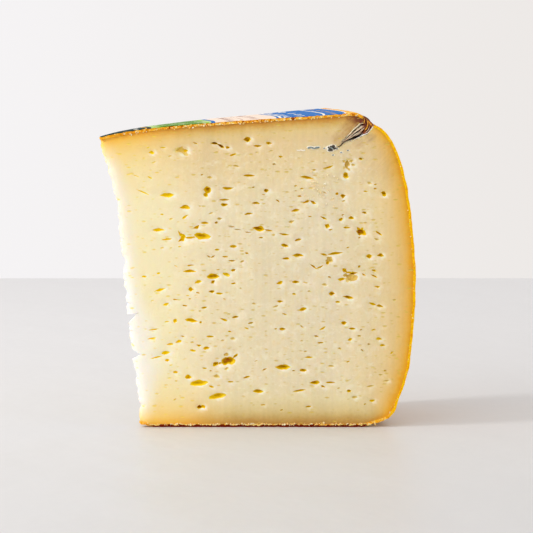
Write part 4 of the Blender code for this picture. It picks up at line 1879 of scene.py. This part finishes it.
@dataclass
class Label:
    """The paper on the top rind, cut with the wedge."""

    wheel: Wheel
    short: float = 0.3
    thickness: float = 0.1
    pitch: float = 0.9
    steps: int = 64
    float_height: float = 0.06
    overhang: float = 0.2
    droop: float = 0.25
    wrinkle: float = 0.07
    wrinkles: Relief = Relief(1.0, 13.0, 4.0)
    crinkles: Relief = Relief(0.03, 3.0, 2.0, 2)
    torn: Relief = Relief(0.12, 1.6, 6.0)
    sag: Relief = Relief(0.6, 5.0, 12.0)

    def build(self) -> Mesh:
        """The label's mesh: a thin sheet with soft wrinkles, turned down a little over the cut edges."""
        wheel = self.wheel
        start = wheel.blunt + self.short
        count = round((wheel.label_radius - start) / self.pitch)
        radii = [start + (wheel.label_radius - start) * i / count for i in range(count + 1)]
        mesh = bmesh.new()
        chain(mesh, [(radius, 0, wheel.top(radius)) for radius in radii])
        spun(wheel, mesh, self.steps)
        for vert in mesh.verts:
            spot = vert.co.copy()
            wrinkle = self.wrinkle * (1 + self.wrinkles.at(spot)) + self.crinkles.at(spot)
            vert.co.z += self.float_height + wrinkle
            for side in CutFace:
                if wheel.on_plane(side, spot):
                    vert.co += wheel.outward(side) * (self.overhang + self.torn.at(spot))
                    vert.co.z -= self.droop * (0.7 + self.sag.at(spot))
        wheel.lean(mesh)
        top = list(mesh.faces)
        if top[0].normal.z < 0:
            bmesh.ops.reverse_faces(mesh, faces=top)
        lifted = new_verts(bmesh.ops.extrude_face_region(mesh, geom=top))
        bmesh.ops.translate(mesh, verts=lifted, vec=(0, 0, self.thickness))
        bmesh.ops.recalc_face_normals(mesh, faces=mesh.faces)
        return mesh


# ---------------------------------------------------------------- crumbs and mould spots


@dataclass
class Crumbs:
    """Loose bits of cheese and rind that cling to the cut faces by the rind. Sizes are in millimetres."""

    wheel: Wheel
    seed: int = 5
    by_top: int = 120
    by_bottom: int = 190
    by_rim: int = 20
    on_paste: int = 60
    by_rind_sizes: Pair = (0.12, 0.3)
    by_rim_sizes: Pair = (0.12, 0.26)
    on_paste_sizes: Pair = (0.12, 0.28)
    roughness: float = 0.22

    def build(self) -> Mesh:
        """The golden crumbs along the rind of both cut faces, and paler ones, material 1, on the paste."""
        self.random = draw = random.Random(self.seed)
        mesh = bmesh.new()
        for face in CutFace:
            for _ in range(self.by_top):
                along, drop = draw.uniform(6, 90), abs(draw.gauss(0.7, 0.25))
                self._put(mesh, face, along, self.wheel.top_on(face, along) - drop, self.by_rind_sizes)
            for _ in range(self.by_bottom):
                self._put(mesh, face, draw.uniform(15, 97), abs(draw.gauss(1.0, 0.2)), self.by_rind_sizes)
            for _ in range(self.by_rim):
                up = draw.uniform(4, 100)
                self._put(mesh, face, self.wheel.rim_at(up) - draw.uniform(0.0, 1.0), up, self.by_rim_sizes)
        for _ in range(self.on_paste):
            along, up = draw.gauss(77.5, 3.4), draw.gauss(83.6, 3.0)
            self._put(mesh, CutFace.FRONT, along, up, self.on_paste_sizes, 1)
        return mesh

    def _put(self, mesh: Mesh, face: CutFace, along: float, up: float, sizes: Pair, tint: int = 0) -> None:
        """Adds one angular bit to a cut face, unless it lies beyond the thin edge."""
        size = self.random.uniform(*sizes)
        start = self.wheel.thin_edge(up) + 1.0 if face is CutFace.FRONT else self.wheel.blunt
        if along < start:
            return
        verts = ball(mesh, 1, size)
        bmesh.ops.scale(mesh, verts=verts, vec=[self.random.uniform(0.6, 1.5) for _ in range(3)])
        rough = self.roughness
        for vert in verts:
            vert.co += Vector([self.random.uniform(-rough, rough) * size for _ in range(3)])
        middle = self.wheel.on_face(face, along, max(up, size), 0.1 + size * 0.3)
        bmesh.ops.translate(mesh, verts=verts, vec=middle)
        paint(verts, tint)


@dataclass
class MouldSpots:
    """The spots of mould in the paste beyond the fold's tip, with a material for each colour."""

    GREY, BLUE, WHITE = range(3)

    wheel: Wheel
    seed: int = 3

    def build(self) -> Mesh:
        """The spots' mesh: each coloured one has a larger white one sunk behind it."""
        self.random = random.Random(self.seed)
        mesh = bmesh.new()
        for _ in range(14):
            along, up = self.random.gauss(81.0, 0.65), self.random.gauss(97.2, 0.6)
            size = self.random.uniform(0.32, 0.62)
            self._spot(mesh, along, up, size + 0.34, self.WHITE, 0.12)
            tint = self.random.choice([self.GREY, self.GREY, self.GREY, self.GREY, self.BLUE])
            self._spot(mesh, along, up, size, tint, -0.04)
        for step in range(9):
            wave = 0.15 * math.sin(step)
            self._spot(mesh, 73.1 + step * 0.44, 97.8 + wave, 0.72, self.WHITE, 0.14)
            self._spot(mesh, 73.2 + step * 0.42, 97.7 + wave, 0.42, self.BLUE, -0.04)
        for step in range(7):
            self._spot(mesh, 69.3 + step * 0.4, 96.8 + 0.1 * math.cos(step * 2), 0.34, self.WHITE)
        for along, up in ((81.6, 95.2), (84.4, 96.1), (86.7, 96.8), (78.6, 97.5), (83.0, 97.4)):
            self._spot(mesh, along, up, 0.28, self.BLUE, -0.04)
            self._spot(mesh, along + 0.1, up, 0.6, self.WHITE, 0.14)
        return mesh

    def _spot(self, mesh: Mesh, along: float, up: float, size: float, tint: int, sunk: float = 0.0) -> None:
        """Adds one flat spot."""
        verts = ball(mesh, 2, size)
        stretch = self.random.uniform(0.8, 1.5), 0.35, self.random.uniform(0.6, 0.9)
        bmesh.ops.scale(mesh, verts=verts, vec=stretch)
        lumps = Relief(0.25, 0.3, along + up, 2)
        for vert in verts:
            vert.co *= 1 + lumps.at(vert.co)
        bmesh.ops.translate(mesh, verts=verts, vec=(along, sunk - 0.02, up))
        paint(verts, tint)


# ---------------------------------------------------------------- the studio


@dataclass
class Studio:
    """The floor, the lights and the camera. Places are in millimetres from the wheel's axis."""

    wheel: Wheel
    camera_place: tuple[float, float, float] = (58.65, -780.0, 144.0)
    camera_pitch: float = 6.4
    focal_pixels: float = 2262.0
    frame_pixels: float = 533.0
    sensor: float = 36.0
    table_end: float = 446.0
    fade: Pair = (-0.16, 0.16)
    surround: tuple[tuple, tuple] = (srgb(246, 244, 245), srgb(237, 233, 230))

    def build(self) -> None:
        """Sets everything up."""
        self._floor()
        self._world()
        self._light("key", (-72, 33), size=140, distance=700, watts=2.1, colour=(1.0, 0.97, 0.93))
        self._light("side", (-46, 40), size=1800, distance=3200, watts=11.3, colour=(1.0, 0.98, 0.95))
        self._camera()
        bpy.context.scene.view_settings.view_transform = "Standard"

    def _point(self, place: Sequence[float]) -> Vector:
        """A place in the frame, in metres."""
        return Vector(place) * MM + self.wheel.foot

    def _floor(self) -> None:
        """A plain pale table top that ends behind the wedge."""
        mesh = bmesh.new()
        bmesh.ops.create_grid(mesh, x_segments=1, y_segments=1, size=0.5)
        bmesh.ops.scale(mesh, verts=mesh.verts, vec=(6, 3.6, 1))
        end = self._point((0, self.table_end, 0)).y
        bmesh.ops.translate(mesh, verts=mesh.verts, vec=(0, end - 1.8, 0))
        floor = mesh_object("table_top", mesh)
        floor.data.materials.append(TableFinish(self.wheel).dress())

    def _world(self) -> None:
        """An even pale surround, which is also the backdrop."""
        world = bpy.data.worlds.new("surround")
        world.use_nodes = True
        nodes, links = world.node_tree.nodes, world.node_tree.links
        coordinates = nodes.new("ShaderNodeTexCoord")
        parts = nodes.new("ShaderNodeSeparateXYZ")
        share = nodes.new("ShaderNodeMapRange")
        share.interpolation_type = "SMOOTHSTEP"
        share.inputs["From Min"].default_value, share.inputs["From Max"].default_value = self.fade
        colour = nodes.new("ShaderNodeValToRGB")
        colour.color_ramp.elements[0].color, colour.color_ramp.elements[1].color = self.surround
        links.new(coordinates.outputs["Generated"], parts.inputs[0])
        links.new(parts.outputs["X"], share.inputs["Value"])
        links.new(share.outputs["Result"], colour.inputs["Fac"])
        links.new(colour.outputs["Color"], nodes["Background"].inputs["Color"])
        bpy.context.scene.world = world

    def _light(
        self, name: str, stands: Pair, size: float, distance: float, watts: float, colour: Sequence[float]
    ) -> None:
        """Adds a square lamp that looks at the wedge.

        Args:
            name: The lamp's name.
            stands: Its way round from straight in front, positive to the right, and up, in degrees.
            size: Its side, in millimetres.
            distance: How far away it stands, in millimetres.
            watts: Its power.
            colour: Its colour.
        """
        lamp = bpy.data.lights.new(name, "AREA")
        lamp.size = size * MM
        lamp.energy = watts
        lamp.color = colour
        round_by, rise = (math.radians(value) for value in stands)
        level = math.cos(rise)
        way = Vector((math.sin(round_by) * level, -math.cos(round_by) * level, math.sin(rise)))
        made = bpy.data.objects.new(name, lamp)
        made.location = self._point((55, 20, 50)) + way * distance * MM
        made.rotation_euler = (-way).to_track_quat("-Z", "Y").to_euler()
        bpy.context.scene.collection.objects.link(made)

    def _camera(self) -> None:
        """The camera at the photograph's viewing angle."""
        data = bpy.data.cameras.new("camera")
        data.sensor_width = self.sensor
        data.lens = self.focal_pixels / self.frame_pixels * self.sensor
        camera = bpy.data.objects.new("camera", data)
        camera.location = self._point(self.camera_place)
        camera.rotation_euler = (math.radians(90 - self.camera_pitch), 0, 0)
        bpy.context.scene.collection.objects.link(camera)
        bpy.context.scene.camera = camera


# ---------------------------------------------------------------- putting it together


def main() -> None:
    """Builds the studio and every piece of the wedge."""
    logging.basicConfig(level=logging.INFO, format="%(message)s")
    wheel = Wheel.of_frame()
    Studio(wheel).build()
    shop = Workshop(wheel)
    fold = Fold(wheel)

    # A paler variant for shallow eyes. Its lit colours are a painted glow near the thin edge, and its brown
    # is painted shade.
    shallow = EyeFinish(
        wheel, "goat_cheese_shallow_eye", straw=srgb(234, 212, 138), lit_straw=srgb(252, 224, 120),
        gold=srgb(218, 184, 92), lit_gold=srgb(250, 212, 70), brown=srgb(196, 152, 50),
    )
    paste = [PasteFinish(wheel), EyeFinish(wheel), shallow]
    shop.finish("cheese_paste", Paste(wheel, fold).build(), paste, "goat_cheese", "cheese_wedge")

    rind = [SkinFinish(wheel), RindCutFinish(wheel)]
    shop.finish("rind", Rind(wheel, fold).build(), rind, "goat_cheese")

    shop.finish("fold_lining", fold.lining(), [MouldFinish(wheel)], "goat_cheese")
    spots = [
        PlainFinish(wheel, "grey_mould", srgb(88, 82, 72), srgb(40, 32, 26), 0.5, 0.8),
        PlainFinish(wheel, "blue_mould", srgb(142, 160, 158), srgb(96, 112, 112), 0.5, 0.8),
        PlainFinish(wheel, "white_mould", srgb(252, 246, 230), srgb(236, 222, 192), 0.5, 0.7),
    ]
    shop.finish("mould_spots", MouldSpots(wheel).build(), spots, "goat_cheese")

    crumbs = [
        PlainFinish(wheel, "golden_crumb", srgb(255, 240, 190), srgb(255, 190, 70), 1.6, 0.7, 0.3),
        PlainFinish(wheel, "pale_crumb", srgb(255, 246, 216), srgb(250, 218, 156), 1.2, 0.7, 0.3),
    ]
    shop.finish("crumbs", Crumbs(wheel).build(), crumbs, "goat_cheese")

    shop.finish("label", Label(wheel).build(), [PaperFinish(wheel)], "printed_paper", "paper_label")


if __name__ == "__main__":
    main()
